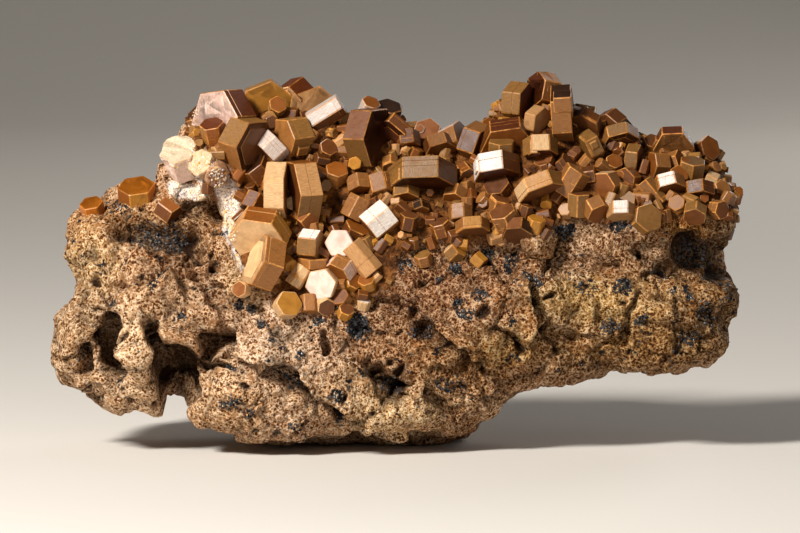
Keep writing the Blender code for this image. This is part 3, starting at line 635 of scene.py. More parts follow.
def new_object(name, bm, material):
    """A finished piece at the origin, made in millimetres and riding on the specimen's one body."""
    bmesh.ops.scale(bm, vec=(MM, MM, MM), verts=bm.verts)
    mesh = bpy.data.meshes.new(name)
    bm.to_mesh(mesh)
    bm.free()
    mesh.materials.append(material)
    obj = bpy.data.objects.new(name, mesh)
    bpy.context.scene.collection.objects.link(obj)
    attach(obj, ROOT)
    return obj


def kept_in_box(bm):
    """No vertex, in millimetres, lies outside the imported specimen's box."""
    low, high = Vector(CAD_BOX[0]) / MM, Vector(CAD_BOX[1]) / MM
    for v in bm.verts:
        for axis in range(3):
            v.co[axis] = min(max(v.co[axis], low[axis]), high[axis])


# ---------------------------------------------------------------------------------------------------------
# Materials
# ---------------------------------------------------------------------------------------------------------

class Nodes:
    """Makes and joins the nodes of one material."""

    def __init__(self, name):
        self.material = bpy.data.materials.new(name)
        self.material.use_nodes = True
        self.tree = self.material.node_tree
        self.shader = self.tree.nodes["Principled BSDF"]
        self.count = 0

    def add(self, kind, inputs=(), **settings):
        made = self.tree.nodes.new(kind)
        made.location = (-220 * (1 + self.count // 6), 300 - 180 * (self.count % 6))
        self.count += 1
        for key, value in settings.items():
            setattr(made, key, value)
        for key, value in dict(inputs).items():
            if isinstance(value, bpy.types.NodeSocket):
                self.tree.links.new(value, made.inputs[key])
            else:
                made.inputs[key].default_value = value
        return made

    def noise(self, coords, size, detail=4.0, rough=0.55, distortion=0.0):
        """Noise whose features are this size, in metres."""
        return self.add("ShaderNodeTexNoise", {
            "Vector": coords, "Scale": 1 / size, "Detail": detail, "Roughness": rough,
            "Distortion": distortion,
        }).outputs["Fac"]

    def bent(self, coords, size, amount):
        """The coordinates pushed about by noise, so that what is drawn with them loses its even outlines."""
        push = self.add("ShaderNodeTexNoise", {"Vector": coords, "Scale": 1 / size, "Detail": 1.0})
        ends = {0: push.outputs["Color"], 1: (0.5, 0.5, 0.5)}
        push = self.add("ShaderNodeVectorMath", ends, operation="SUBTRACT").outputs[0]
        push = self.add("ShaderNodeVectorMath", {0: push, "Scale": 2 * amount}, operation="SCALE").outputs[0]
        return self.add("ShaderNodeVectorMath", {0: coords, 1: push}, operation="ADD").outputs[0]

    def cells(self, coords, size):
        """The distance to the middle of the nearest cell, in cells of this size, in metres."""
        return self.add("ShaderNodeTexVoronoi", {"Vector": coords, "Scale": 1 / size}).outputs["Distance"]

    def span(self, value, low, high, to_low=0.0, to_high=1.0):
        return self.add("ShaderNodeMapRange", {
            "Value": value, "From Min": low, "From Max": high, "To Min": to_low, "To Max": to_high,
        }, interpolation_type="SMOOTHSTEP").outputs["Result"]

    def maths(self, operation, a, b=0.0, clamp=False):
        return self.add("ShaderNodeMath", {0: a, 1: b}, operation=operation, use_clamp=clamp).outputs[0]

    def mix(self, factor, a, b, blend="MIX"):
        made = self.tree.nodes.new("ShaderNodeMix")
        made.data_type, made.blend_type = "RGBA", blend
        made.location = (-220 * (1 + self.count // 6), 300 - 180 * (self.count % 6))
        self.count += 1
        for place, value in ((0, factor), (6, a), (7, b)):
            if isinstance(value, bpy.types.NodeSocket):
                self.tree.links.new(value, made.inputs[place])
            else:
                made.inputs[place].default_value = value if place == 0 else (*value[:3], 1)
        return made.outputs[2]

    def attribute(self, name):
        return self.add("ShaderNodeAttribute", attribute_name=name)

    def parts(self, colour):
        made = self.add("ShaderNodeSeparateColor", {"Color": colour})
        return made.outputs[0], made.outputs[1], made.outputs[2]

    def bump(self, height, distance, strength=1.0, normal=None):
        inputs = {"Height": height, "Distance": distance, "Strength": strength}
        if normal is not None:
            inputs["Normal"] = normal
        return self.add("ShaderNodeBump", inputs).outputs["Normal"]

    def finish(self, colour, roughness, normal=None, **plain):
        links, inputs = self.tree.links, self.shader.inputs
        for key, value in (("Base Color", colour), ("Roughness", roughness), ("Normal", normal)):
            if isinstance(value, bpy.types.NodeSocket):
                links.new(value, inputs[key])
            elif value is not None:
                inputs[key].default_value = value
        for key, value in plain.items():
            inputs[key.replace("_", " ")].default_value = value
        return self.material


def rock_material(settings):
    """Porous sandy rock: a sponge of pores darkened with painted shade between pale walls brightened with
    painted highlight, stains with painted light and shade among them, soot and the crust's iron film.
    """
    n = Nodes("porous_rock")
    coords = n.add("ShaderNodeTexCoord").outputs["Object"]
    tint = n.attribute("tint")
    pit_shade, soot, frost = n.parts(n.attribute("relief").outputs["Color"])
    broad = n.noise(coords, 0.0060, 4, 0.62)
    patch = n.noise(coords, 0.0017, 4, 0.6, 0.4)
    fine = n.noise(coords, settings.grain * 0.5, 2, 0.6)
    wide = n.cells(n.bent(coords, settings.grain * 1.5, 0.00034), settings.grain * 2.0)
    small = n.cells(n.bent(coords, settings.grain * 0.8, 0.00014), settings.grain * 1.05)
    open_pores = n.span(patch, 0.34, 0.62, -0.14, 0.12)
    wide_pore = n.span(n.maths("SUBTRACT", wide, open_pores), 0.25, 0.37, 1.0, 0.0)
    small_pore = n.span(n.maths("SUBTRACT", small, open_pores), 0.26, 0.40, 0.85, 0.0)
    pore = n.maths("MAXIMUM", wide_pore, small_pore)
    wall = n.maths("MULTIPLY", n.span(wide, 0.46, 0.70), n.span(small, 0.34, 0.62))
    colour = n.mix(n.span(patch, 0.30, 0.70), (0.55, 0.47, 0.40), (1.28, 1.23, 1.16))
    colour = n.mix(1.0, tint.outputs["Color"], colour, "MULTIPLY")
    colour = n.mix(n.span(broad, 0.54, 0.70, 0.0, 0.45), colour, (0.36, 0.135, 0.032))
    # painted highlight: the walls between the pores are lightened, and stand for the pale grains too
    light = n.add("ShaderNodeGamma", {"Color": tint.outputs["Color"], "Gamma": 0.55}).outputs["Color"]
    light = n.mix(1.0, light, settings.pale, "MULTIPLY")
    colour = n.mix(n.maths("MULTIPLY", wall, 0.9), colour, light)
    # painted shade: the pores are darkened
    pore_shade = n.mix(1.0, tint.outputs["Color"], (0.13, 0.055, 0.012), "MULTIPLY")
    colour = n.mix(n.maths("MULTIPLY", pore, 0.96), colour, pore_shade)
    film = n.mix(n.span(patch, 0.38, 0.62), (0.045, 0.014, 0.003), (0.20, 0.072, 0.016))
    colour = n.mix(tint.outputs["Alpha"], colour, film)
    sugar = n.mix(n.span(patch, 0.40, 0.60), (0.86, 0.70, 0.52), (0.62, 0.52, 0.50))
    sugar = n.mix(n.span(broad, 0.50, 0.66, 0.0, 0.7), sugar, (0.80, 0.45, 0.08))
    sugar = n.mix(n.span(fine, 0.52, 0.64), sugar, (0.95, 0.90, 0.86))
    # painted shade in the pinholes of the pale broken edge
    sugar = n.mix(n.maths("MULTIPLY", small_pore, 0.8), sugar, (0.10, 0.060, 0.045))
    colour = n.mix(frost, colour, sugar)
    # painted shade in the pores, hollows, seams and low places
    colour = n.mix(pit_shade, colour, settings.shade)
    ragged = n.maths("ADD", soot, n.maths("MULTIPLY", n.noise(coords, 0.00055, 3, 0.65), 2.2))
    black = n.span(ragged, 1.70, 1.78)
    oxide = n.mix(n.span(fine, 0.5, 0.66), (0.005, 0.005, 0.006), (0.034, 0.033, 0.036))
    colour = n.mix(black, colour, oxide)
    height = n.maths("ADD", n.maths("MULTIPLY", wide, 0.6), n.maths("MULTIPLY", small, 0.4))
    height = n.maths("ADD", height, n.maths("MULTIPLY", fine, 0.15))
    normal = n.bump(height, 0.00034, 0.9)
    roughness = n.span(fine, 0.3, 0.7, 0.95, 0.6)
    return n.finish(colour, roughness, normal, IOR=1.2)


def crystal_material(settings, name):
    """Vanadinite: each face's colour, which paints light and shade by the way the face looks, under an iron
    film, fine lines along the crystal, and edges painted bright as if light came through them.
    """
    n = Nodes(name)
    coords = n.add("ShaderNodeTexCoord").outputs["Object"]
    uv = n.add("ShaderNodeUVMap", uv_map="UVMap").outputs["UV"]
    tone = n.attribute("tone")
    flat_end, frost, _ = n.parts(n.attribute("skin").outputs["Color"])
    rim = tone.outputs["Alpha"]
    mottle = n.noise(coords, 0.0016, 4, 0.6, 0.3)
    speck = n.noise(coords, 0.00045, 3, 0.6)
    stretched = n.add("ShaderNodeMapping", {"Vector": uv, "Scale": (9.0, 0.9, 1.0)}).outputs["Vector"]
    lines = n.noise(stretched, 1.0, 4.0, 0.6, 0.25)
    lines = n.mix(flat_end, lines, n.span(mottle, 0.2, 0.8, 0.38, 0.62))
    lines = n.parts(lines)[0]
    colour = n.mix(n.span(lines, 0.30, 0.70), (0.74, 0.67, 0.60), (1.2, 1.2, 1.2))
    colour = n.mix(1.0, tone.outputs["Color"], colour, "MULTIPLY")
    tinted = n.maths("MULTIPLY", n.span(mottle, 0.55, 0.76, 0.0, 0.45), n.span(flat_end, 0.0, 1.0, 1.0, 0.2))
    colour = n.mix(tinted, colour, settings.stain)
    # painted light: the bevelled edges glow orange as if light came through them
    edge = n.maths("MULTIPLY", rim, n.span(mottle, 0.34, 0.60, 0.25, 1.0))
    bright = n.mix(n.span(speck, 0.45, 0.65), settings.rim_colour, (0.74, 0.38, 0.11))
    colour = n.mix(edge, colour, bright)
    rough_spot = n.maths("MULTIPLY", frost, n.span(speck, 0.40, 0.56))
    colour = n.mix(rough_spot, colour, (0.80, 0.64, 0.50))
    height = n.maths("ADD", n.maths("MULTIPLY", lines, 0.7), n.maths("MULTIPLY", speck, 0.3))
    height = n.maths("ADD", height, n.maths("MULTIPLY", rough_spot, 2.0))
    normal = n.bump(height, 0.00009, 0.55)
    roughness = n.maths("ADD", n.span(mottle, 0.3, 0.7, 0.34, 0.50), n.maths("MULTIPLY", frost, 0.3), True)
    return n.finish(colour, roughness, normal, IOR=1.42)


def oxide_material(settings):
    n = Nodes("manganese_oxide")
    coords = n.add("ShaderNodeTexCoord").outputs["Object"]
    speck = n.noise(coords, 0.0003, 3, 0.6)
    colour = n.mix(n.span(speck, 0.45, 0.7), settings.colour, (0.045, 0.043, 0.045))
    normal = n.bump(speck, 0.00008, 0.8)
    return n.finish(colour, n.span(speck, 0.3, 0.7, 0.28, 0.6), normal, IOR=1.7)


def crumb_material():
    """Crumbs of the broken edge: white, cream, yellow and a few grey ones, dull and sugary."""
    n = Nodes("broken_crumbs")
    coords = n.add("ShaderNodeTexCoord").outputs["Object"]
    speck = n.noise(coords, 0.0003, 3, 0.6)
    tone = n.attribute("tone")
    colour = n.mix(n.span(speck, 0.4, 0.65), (0.75, 0.75, 0.75), (1.1, 1.1, 1.1))
    colour = n.mix(1.0, tone.outputs["Color"], colour, "MULTIPLY")
    normal = n.bump(speck, 0.0001, 0.7)
    return n.finish(colour, n.span(speck, 0.3, 0.7, 0.3, 0.7), normal, IOR=1.7)


# ---------------------------------------------------------------------------------------------------------
# Rock
# ---------------------------------------------------------------------------------------------------------

def taken(obj):
    """The object's mesh as its modifiers make it; the helper object itself is removed."""
    graph = bpy.context.evaluated_depsgraph_get()
    mesh = bpy.data.meshes.new_from_object(obj.evaluated_get(graph))
    bpy.data.objects.remove(obj)
    return mesh


def helper(name, bm):
    """An object for modifiers to work on; taken() removes it again."""
    mesh = bpy.data.meshes.new(name)
    bm.to_mesh(mesh)
    bm.free()
    obj = bpy.data.objects.new(name, mesh)
    bpy.context.scene.collection.objects.link(obj)
    return obj


# The rock's patterns: how wide each is, in millimetres.
WARP, SLOW, RAGGED = 3.0, 7.0, 1.3        # these push the outlines about
BIG, MIDDLE, FINE = 10, 3.4, 0.85         # lumps, knobs and sandy grain
BACK_HOLLOW, PINHOLE, LOOSE_SOOT = 6.5, 1.35, 2.1

COLUMN = 4                                # the tables of the front are sorted into columns this wide
FRONT_DEPTH = 8                           # nothing further back than this belongs to the front
FRONT_HEIGHT = 1.15                       # the front's forms are this much stronger than their rows say
SEAT = 0.62                               # a lone crystal's seat, as a share of its width
FOOT_HEIGHT = 1.2                         # the rock's foot stays flat up to here

# How far a row reaches, as a multiple of its own radius.
RELIEF_REACH, STAIN_AND_LIGHT_REACH, OXIDE_REACH, RIM_REACH = 2.4, 2.2, 1.5, 1.6


def ball(bm, radius, place):
    bmesh.ops.create_icosphere(bm, subdivisions=2, radius=radius, matrix=Matrix.Translation(place))


def seen_front(bm):
    """The faces on the front that no crust covers."""
    found = []
    for face in bm.faces:
        place = face.calc_center_median()
        x, h = as_seen(place)
        covered = -34 < x < 58 and h > along(FRINGE, x) + 4
        if face.normal.y < 0.15 and place.y < 6 and face.normal.z > -0.9 and not covered:
            found.append(face)
    return found


def first_skin(settings):
    """The rock and the layer under the crust as one smooth skin, in millimetres, finer on the front."""
    bm = bmesh.new()
    bm.from_mesh(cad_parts["matrix"].data)
    bmesh.ops.remove_doubles(bm, verts=bm.verts, dist=1e-7)
    bmesh.ops.scale(bm, vec=(1 / MM, 1 / MM, 1 / MM), verts=bm.verts)
    for _, across, _, root, inward, _ in crust_crystals():
        ball(bm, across / 3 + 1.5, root)
        ball(bm, across / 3 + 3.0, root + inward * 2.4)
    for _, matrix, across, _, _ in lone_crystals():
        ball(bm, across * 0.42, matrix.translation + Vector((0, 1.3, -0.9)))
    rock = helper("first_skin", bm)
    fuse = rock.modifiers.new("Fuse", "REMESH")
    fuse.mode, fuse.voxel_size = "VOXEL", settings.base_grain / MM
    bm = bmesh.new()
    bm.from_mesh(taken(rock))
    for _ in range(3):
        bmesh.ops.smooth_vert(
            bm, verts=bm.verts, factor=0.5, use_axis_x=True, use_axis_y=True, use_axis_z=True)
    rock = helper("smooth_skin", bm)
    finer = rock.modifiers.new("Finer", "SUBSURF")
    finer.levels = finer.render_levels = 1
    bm = bmesh.new()
    bm.from_mesh(taken(rock))
    bm.normal_update()
    edges = list({e for f in seen_front(bm) for e in f.edges})
    bmesh.ops.subdivide_edges(bm, edges=edges, cuts=1, use_grid_fill=True)
    bm.normal_update()
    return bm


def smooth_step(value, low, high):
    t = min(1.0, max(0.0, (value - low) / (high - low)))
    return t * t * (3 - 2 * t)


def line_distance(x, h, x0, h0, x1, h1):
    """How far x, h is from the line between two points."""
    dx, dh = x1 - x0, h1 - h0
    t = max(0.0, min(1.0, ((x - x0) * dx + (h - h0) * dh) / (dx * dx + dh * dh + 1e-9)))
    return math.hypot(x - x0 - t * dx, h - h0 - t * dh)


def ledge(x, h, x0, h0, x1, h1, rise, drop, reach):
    """The height that a sharp ledge gives the place x, h."""
    dx, dh = x1 - x0, h1 - h0
    length = math.hypot(dx, dh)
    t = ((x - x0) * dx + (h - h0) * dh) / length ** 2
    side = ((h - h0) * dx - (x - x0) * dh) / length
    if side > reach or side < -reach or t < -0.15 or t > 1.15:
        return 0.0
    ends = smooth_step(t, -0.15, 0.05) * (1 - smooth_step(t, 0.95, 1.15))
    up, down = rise * (1 - smooth_step(side, 0, reach)), -drop * (1 - smooth_step(-side, 0, reach * 0.6))
    return (down + (up - down) * smooth_step(side, -0.2, 0.2)) * ends


def rows_near(rows, reach):
    """Rows sorted into columns of x, so that a point meets only those near it."""
    columns = {}
    for row in rows:
        low, high = reach(row)
        for column in range(math.floor(low / COLUMN), math.floor(high / COLUMN) + 1):
            columns.setdefault(column, []).append(row)
    return columns


def front_rows():
    """The tables of the front, each sorted into columns."""
    def line(share):
        return lambda r: (min(r[0], r[2]) - share * r[4], max(r[0], r[2]) + share * r[4])

    def patch(share):
        return lambda r: (r[0] - share * r[2], r[0] + share * r[2])

    return {
        "relief": rows_near(RELIEF, line(RELIEF_REACH)),
        "ledges": rows_near(LEDGES, lambda r: (min(r[0], r[2]) - r[6], max(r[0], r[2]) + r[6])),
        "stains": rows_near(STAINS_AND_PAINTED_LIGHT, patch(STAIN_AND_LIGHT_REACH)),
        "oxide": rows_near(OXIDE, patch(OXIDE_REACH)),
        "rim": rows_near(BROKEN_EDGE, line(RIM_REACH)),
    }


def pushed(x, h, q, warp):
    """The place x, h pushed about, so that what the tables draw gets an uneven outline."""
    slow = noise.noise_vector(q / SLOW + Vector((0, 20, 0)))
    ragged = noise.noise_vector(q / RAGGED)
    return x + 0.9 * warp.x + 1.1 * slow.x + 0.4 * ragged.x, h + 0.9 * warp.z + 1.1 * slow.z + 0.4 * ragged.z


def crust_over(p, x, pushed_x, pushed_h):
    """How far the crust covers the rock at p, from 0 to 1."""
    if p.y > 4:
        return smooth_step(p.z - along(SKYLINE, x) + 16, 0.0, 4.0) if -38 < x < 58 else 0.0
    return smooth_step(pushed_h - along(FRINGE, pushed_x), -0.8, 1.6) if -36 < x < 59 else 0.0


def front_form(rows, column, x, h):
    """How far the hollows, knobs and ledges move a place of the front."""
    move = 0.0
    for x0, h0, x1, h1, radius, height in rows["relief"].get(column, ()):
        d = line_distance(x, h, x0, h0, x1, h1) / radius
        if d < RELIEF_REACH:
            move += height * (math.exp(-d * d) if height > 0 else 1 - smooth_step(d, 0.45, 1.2))
    step = 0.0
    for row in rows["ledges"].get(column, ()):
        here = ledge(x, h, *row)
        step = here if abs(here) > abs(step) else step
    return move + step


def flat_breaks(q, warp, block):
    """The height of the flat break at q, and how near its border is, from 0 to 1."""
    far, points = noise.voronoi((q + warp * 1.6) / block)
    lean = noise.noise_vector(points[0] * 3.1)
    return (q / block - points[0]).dot(lean) * block * 0.34, smooth_step(0.10 - (far[1] - far[0]), 0.0, 0.10)


def pores(q, warp, spacing):
    """How deep q lies in a large pore and in a pinhole, each from 0 to 1."""
    far, points = noise.voronoi((q + warp * 1.3) / spacing + Vector((31, 7, 3)))
    wide = 0.10 + 0.26 * max(0.0, noise.noise(points[0] * 5.3) + 0.25)
    hole = smooth_step(wide - far[0], 0.0, 0.11)
    far, _ = noise.voronoi((q + warp * 0.6) / PINHOLE + Vector((3, 17, 3)))
    pinhole = smooth_step(0.30 - far[0], 0.0, 0.16) * smooth_step(noise.noise(q / 4.0), -0.3, 0.2)
    return hole, pinhole


def patch_distance(x, h, patch_x, patch_h, half_wide, half_high):
    """The square of how far x, h is from the middle of an oval patch, where 1 is its outline."""
    return ((x - patch_x) / half_wide) ** 2 + ((h - patch_h) / half_high) ** 2


def tinted(rows, column, x, h, facing, total, weight):
    """The colours of the stains and of the painted light and shade, averaged with what is there already."""
    for *patch, colour in rows["stains"].get(column, ()) if facing > 0 else ():
        d = patch_distance(x, h, *patch)
        if d < 4:
            w = 7 * math.exp(-1.1 * d) * facing
            total += Vector(colour) * w
            weight += w
    return total / weight


def sooty(rows, column, x, h, q, facing, crust):
    """How much black oxide is on the rock, in its patches and loose."""
    soot = 0.0
    for *patch, cover in rows["oxide"].get(column, ()) if facing > 0 else ():
        d = patch_distance(x, h, *patch)
        if d < 2:
            soot = max(soot, (1 - smooth_step(d, 0.3, 1.6)) * (0.35 + 0.65 * cover) * facing)
    loose = smooth_step(noise.noise(q / LOOSE_SOOT + Vector((50, 0, 0))), 0.26, 0.66) * 0.72
    return max(soot, loose * (1 - crust))


def frosted(rows, column, x, h, facing):
    """How far the pale broken rim covers the rock, from 0 to 1."""
    frost = 0.0
    for x0, h0, x1, h1, radius in rows["rim"].get(column, ()) if facing > 0 else ():
        d = line_distance(x, h, x0, h0, x1, h1) / radius
        frost = max(frost, (1 - smooth_step(d, 0.7, 1.3)) * facing)
    return frost


def carve(bm, settings):
    """Gives the skin its hollows, ledges, knobs and pores, and returns each vertex's tint, which holds stains
    and painted light and shade, and its relief, which holds the painted shade of its hollows and pores.
    """
    rows = front_rows()
    seats = [(m.translation.copy(), across * SEAT) for _, m, across, _, _ in lone_crystals()]
    shift = Vector((settings.seed * 7.3, 0, settings.seed * 3.1))
    block, spacing, deep = settings.block_size / MM, settings.pore_spacing / MM, settings.pore_depth / MM
    tan = Vector(settings.tan)
    # cream paints light on the high places, brown paints shade on the low ones
    brown, cream = Vector((0.28, 0.125, 0.046)), Vector((0.60, 0.41, 0.245))
    tints, reliefs, places = [], [], []
    for v in bm.verts:
        p, normal = v.co.copy(), v.normal.copy()
        q = p + shift
        warp = noise.noise_vector(q / WARP)
        seen_x, seen_h = as_seen(p)
        x, h = pushed(seen_x, seen_h, q, warp)
        column = math.floor(x / COLUMN)
        facing = smooth_step(-normal.y, -0.25, 0.25) if p.y < FRONT_DEPTH else 0.0
        crust = crust_over(p, seen_x, x, h)
        # the front's own forms
        carved = 0.0
        if facing > 0:
            carved = FRONT_HEIGHT * front_form(rows, column, x, h) * facing * (1 - 0.8 * crust)
        # flat breaks, lumps, pores and sandy grain
        big = noise.fractal(q / BIG, 1.0, 2.0, 2)
        middle = noise.fractal(q / MIDDLE + Vector((9, 0, 0)), 1.0, 2.1, 3)
        fine = noise.fractal(q / FINE, 0.9, 2.1, 2)
        facet, seam = flat_breaks(q, warp, block)
        hole, pinhole = pores(q, warp, spacing)
        hollow = smooth_step(-noise.noise(q / BACK_HOLLOW + Vector((5, 60, 0))), 0.10, 0.48) * (1 - facing)
        calm = 1 - 0.75 * crust
        rough = (1.7 - facing) * big + 0.52 * middle + facet - 0.1 - 0.5 * seam - 2.6 * hollow
        small = 0.16 * fine - deep * hole - 0.32 * pinhole
        move = carved + (rough * (1 - 0.6 * crust) + small) * calm
        # no rock grows over a lone crystal, and the foot stays flat
        for seat, room in seats:
            if (p - seat).length < room + 2:
                move = min(move, 0.0) + max(move, 0.0) * smooth_step((p - seat).length, room, room + 2)
        if p.z < FOOT_HEIGHT and normal.z < -0.3:
            move *= smooth_step(p.z, 0.1, FOOT_HEIGHT)
        places.append(p + normal * move)
        # colour: cream paints light on the high places and brown paints shade on the low places and hollows,
        # under the stains and painted light and shade of their table
        high = smooth_step(big + 0.4 * middle, 0.05, 0.6)
        low = smooth_step(-big - 0.3 * middle, 0.1, 0.6) + 1.6 * hollow
        tint = tinted(rows, column, x, h, facing, tan + (cream * high + brown * low), 1.0 + (high + low))
        # painted light on the raised forms
        tint *= 1 + 0.2 * smooth_step(carved, 0.3, 2.0)
        frost = frosted(rows, column, x, h, facing)
        # painted shade: darker in pores, pinholes, carved hollows, seams, back hollows and low places
        pit_shade = max(0.94 * smooth_step(hole, 0.1, 0.8), 0.55 * pinhole) + 0.62 * smooth_step(-carved, 0.8, 4.2)
        pit_shade += 0.3 * seam + 0.4 * hollow + 0.45 * smooth_step(-middle, 0.16, 0.6)
        pit_shade *= 0.35 + 0.65 * calm
        tints.extend((*tint, crust * (1 - frost)))
        reliefs.extend((min(1.0, pit_shade), sooty(rows, column, x, h, q, facing, crust), frost, 1.0))
    for v, place in zip(bm.verts, places):
        v.co = place
    kept_in_box(bm)
    return tints, reliefs


def build_rock(settings):
    steady(settings.seed)
    bm = first_skin(settings)
    tints, reliefs = carve(bm, settings)
    bm.normal_update()
    obj = new_object("rock", bm, rock_material(settings))
    for name, values in (("tint", tints), ("relief", reliefs)):
        layer = obj.data.attributes.new(name, "FLOAT_COLOR", "POINT")
        layer.data.foreach_set("color", values)
    obj.data.shade_smooth()
    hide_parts("matrix")
    return obj


# ---------------------------------------------------------------------------------------------------------
# Crystals
# ---------------------------------------------------------------------------------------------------------

def face_word(normal):
    """Which way a side looks: f to the front, u up, d down, l left or r right."""
    if normal.y < -0.8:
        return "f"
    if abs(normal.z) > abs(normal.x):
        return "u" if normal.z > 0 else "d"
    return "l" if normal.x < 0 else "r"


def read_look(look, chance):
    """A crystal's colours by face word, with what the table leaves open chosen by chance."""
    words = dict(part.split(":") for part in look.split())
    if "*" not in words:
        words["*"] = chance.choice(("tan", "tan", "khaki", "ochre", "brown", "golden"))
    if "b" not in words:
        words["b"] = chance.choice((words["*"], "rose", "ochre"))
    return words


UNEVEN = 0.03                             # how much nearer the middle a corner may stand
GROOVE_DEPTH, GROOVE_SLOPE = 0.025, 0.02  # as a share of the crystal's width, and in millimetres
LEFT_LIT_TONE, RIGHT_SHADED_TONE = 1.08, 0.82        # painted light: crystals on the left, nearer the key light, are painted paler and those on the right darker


def growth_profile(thick, rim, grooves):
    """Heights up the crystal and the share of its width there, between its bevelled ends."""
    profile = [(rim * 0.8, 1.0)]
    for place, wide in sorted(grooves):
        at = rim + (thick - 2 * rim) * place
        profile += [(at, 1.0), (at + GROOVE_SLOPE, 1 - GROOVE_DEPTH)]
        profile += [(at + wide, 1 - GROOVE_DEPTH), (at + wide + GROOVE_SLOPE, 1.0)]
    return profile + [(thick - rim * 0.8, 1.0)]


def extruded(bm, face, share, rise):
    """The face extruded by rise and scaled to this share of its size."""
    made = bmesh.ops.extrude_face_region(bm, geom=[face])["geom"]
    face = next(g for g in made if isinstance(g, bmesh.types.BMFace))
    bmesh.ops.scale(bm, vec=(share, share, 1), verts=list(face.verts))
    bmesh.ops.translate(bm, vec=(0, 0, rise), verts=list(face.verts))
    return face


def prism(across, thick, rim, grooves, chance, steps=0):
    """One six-sided crystal about Z, its middle at the origin and a corner on Y. Its layers are empty."""
    bm = bmesh.new()
    radius = across / 2
    inset = 1 - rim / radius
    corners = bmesh.ops.create_circle(bm, cap_ends=True, segments=6, radius=radius)["verts"]
    for v in corners:
        v.co *= 1 - chance.uniform(0, UNEVEN)
    bmesh.ops.bevel(
        bm, geom=list(bm.verts), offset=rim, offset_type="OFFSET", affect="VERTICES", segments=1, profile=0.5,
        material=-1)
    face = bm.faces[:][0]
    bmesh.ops.scale(bm, vec=(inset, inset, 1), verts=bm.verts)
    width, height = inset, 0.0
    for at, share in growth_profile(thick, rim, grooves) + [(thick, inset)]:
        face = extruded(bm, face, share / width, at - height)
        width, height = share, at
    for _ in range(steps):
        deep = chance.choice((-1, 1)) * chance.uniform(0.05, 0.12)
        face = extruded(bm, face, chance.uniform(0.62, 0.86), 0.0)
        face = extruded(bm, face, 0.985, deep)
    bmesh.ops.recalc_face_normals(bm, faces=bm.faces)
    bmesh.ops.translate(bm, vec=(0, 0, -thick / 2), verts=bm.verts)
    return bm


def chosen_grooves(thick, chance):
    """Growth lines across a crystal's sides, as where each is and how wide; a thin crystal has none."""
    count = chance.choice((0, 0, 0, 1, 1, 2))
    grooves = [(chance.uniform(0.12, 0.88), chance.uniform(0.03, 0.16)) for _ in range(count)]
    return grooves if thick > 1.6 else []


def broken_up(bm, across, place):
    """Gives a crystal the uneven, crumbled faces of the broken ones."""
    bmesh.ops.subdivide_edges(bm, edges=bm.edges, cuts=3, use_grid_fill=True)
    for v in bm.verts:
        v.co += (noise.noise_vector(v.co * 0.6 + place) * 0.07 * across
                 + noise.noise_vector(v.co * 2.6) * 0.02 * across)
    bm.normal_update()


def add_crystal(bm, matrix, across, thick, look, chance, rim, grooves=None, steps=0, lit=None):
    """A finished crystal joined to bm, with its colours and the map along its faces."""
    if grooves is None:
        grooves = chosen_grooves(thick, chance)
    one = prism(across, thick, min(rim, thick / 5, across / 14), grooves, chance, steps=steps)
    rough, look = look.startswith("rough"), look.removeprefix("rough")
    words = read_look(look, chance)
    if rough:
        broken_up(one, across, matrix.translation)
    tone = one.loops.layers.float_color.new("tone")
    skin = one.loops.layers.float_color.new("skin")
    uv = one.loops.layers.uv.new("UVMap")
    turn = matrix.to_3x3()
    own = chance.random()
    # painted light: the tone goes from paler on the left to darker on the right, times a random tone of its
    # own
    side = smooth_step(matrix.translation.x, -12, 0)
    shade = chance.uniform(0.86, 1.12) * (LEFT_LIT_TONE + (RIGHT_SHADED_TONE - LEFT_LIT_TONE) * side)
    lit = chance.uniform(0.3, 0.9) if lit is None else lit
    for face in one.faces:
        normal = face.normal
        slant = abs(normal.z)
        flat_end = 1.0 if slant > (0.8 if rough else 0.94) else 0.0
        sides = [e.calc_length() for e in face.edges]
        small = min(sides) < rim * 1.9 and face.calc_area() < rim * 2.4 * max(sides)
        # painted light: the bevels and tiny faces are marked to glow as if light came through the edges
        edge = lit if not rough and (0.1 < slant < 0.94 or small) else 0.0
        world = (turn @ normal).normalized()
        # the colour follows the way the face looks, so it paints light and shade
        word = "b" if flat_end else face_word(world)
        colour = FACE_COLOURS_AND_LIGHT[words.get(word, words["*"])]
        across_face = Vector((-normal.y, normal.x, 0))
        for loop in face.loops:
            co = loop.vert.co
            loop[tone] = (colour[0] * shade, colour[1] * shade, colour[2] * shade, edge)
            loop[skin] = (flat_end, 0.25 if rough else 0.0, own, 1.0)
            loop[uv].uv = (co.x + own * 50, co.y) if flat_end else (co.dot(across_face) + own * 50, co.z)
    bmesh.ops.transform(one, matrix=matrix, verts=one.verts)
    mesh = bpy.data.meshes.new("one_crystal")
    one.to_mesh(mesh)
    one.free()
    bm.from_mesh(mesh)
    bpy.data.meshes.remove(mesh)


STEPPED_WIDTH, TWINNED_WIDTH = 6.5, 4.4    # wider crystals than these may have steps and parallel growths


def crystal_bmesh():
    """An empty bmesh with the layers that every crystal has."""
    bm = bmesh.new()
    bm.loops.layers.float_color.new("tone")
    bm.loops.layers.float_color.new("skin")
    bm.loops.layers.uv.new("UVMap")
    return bm


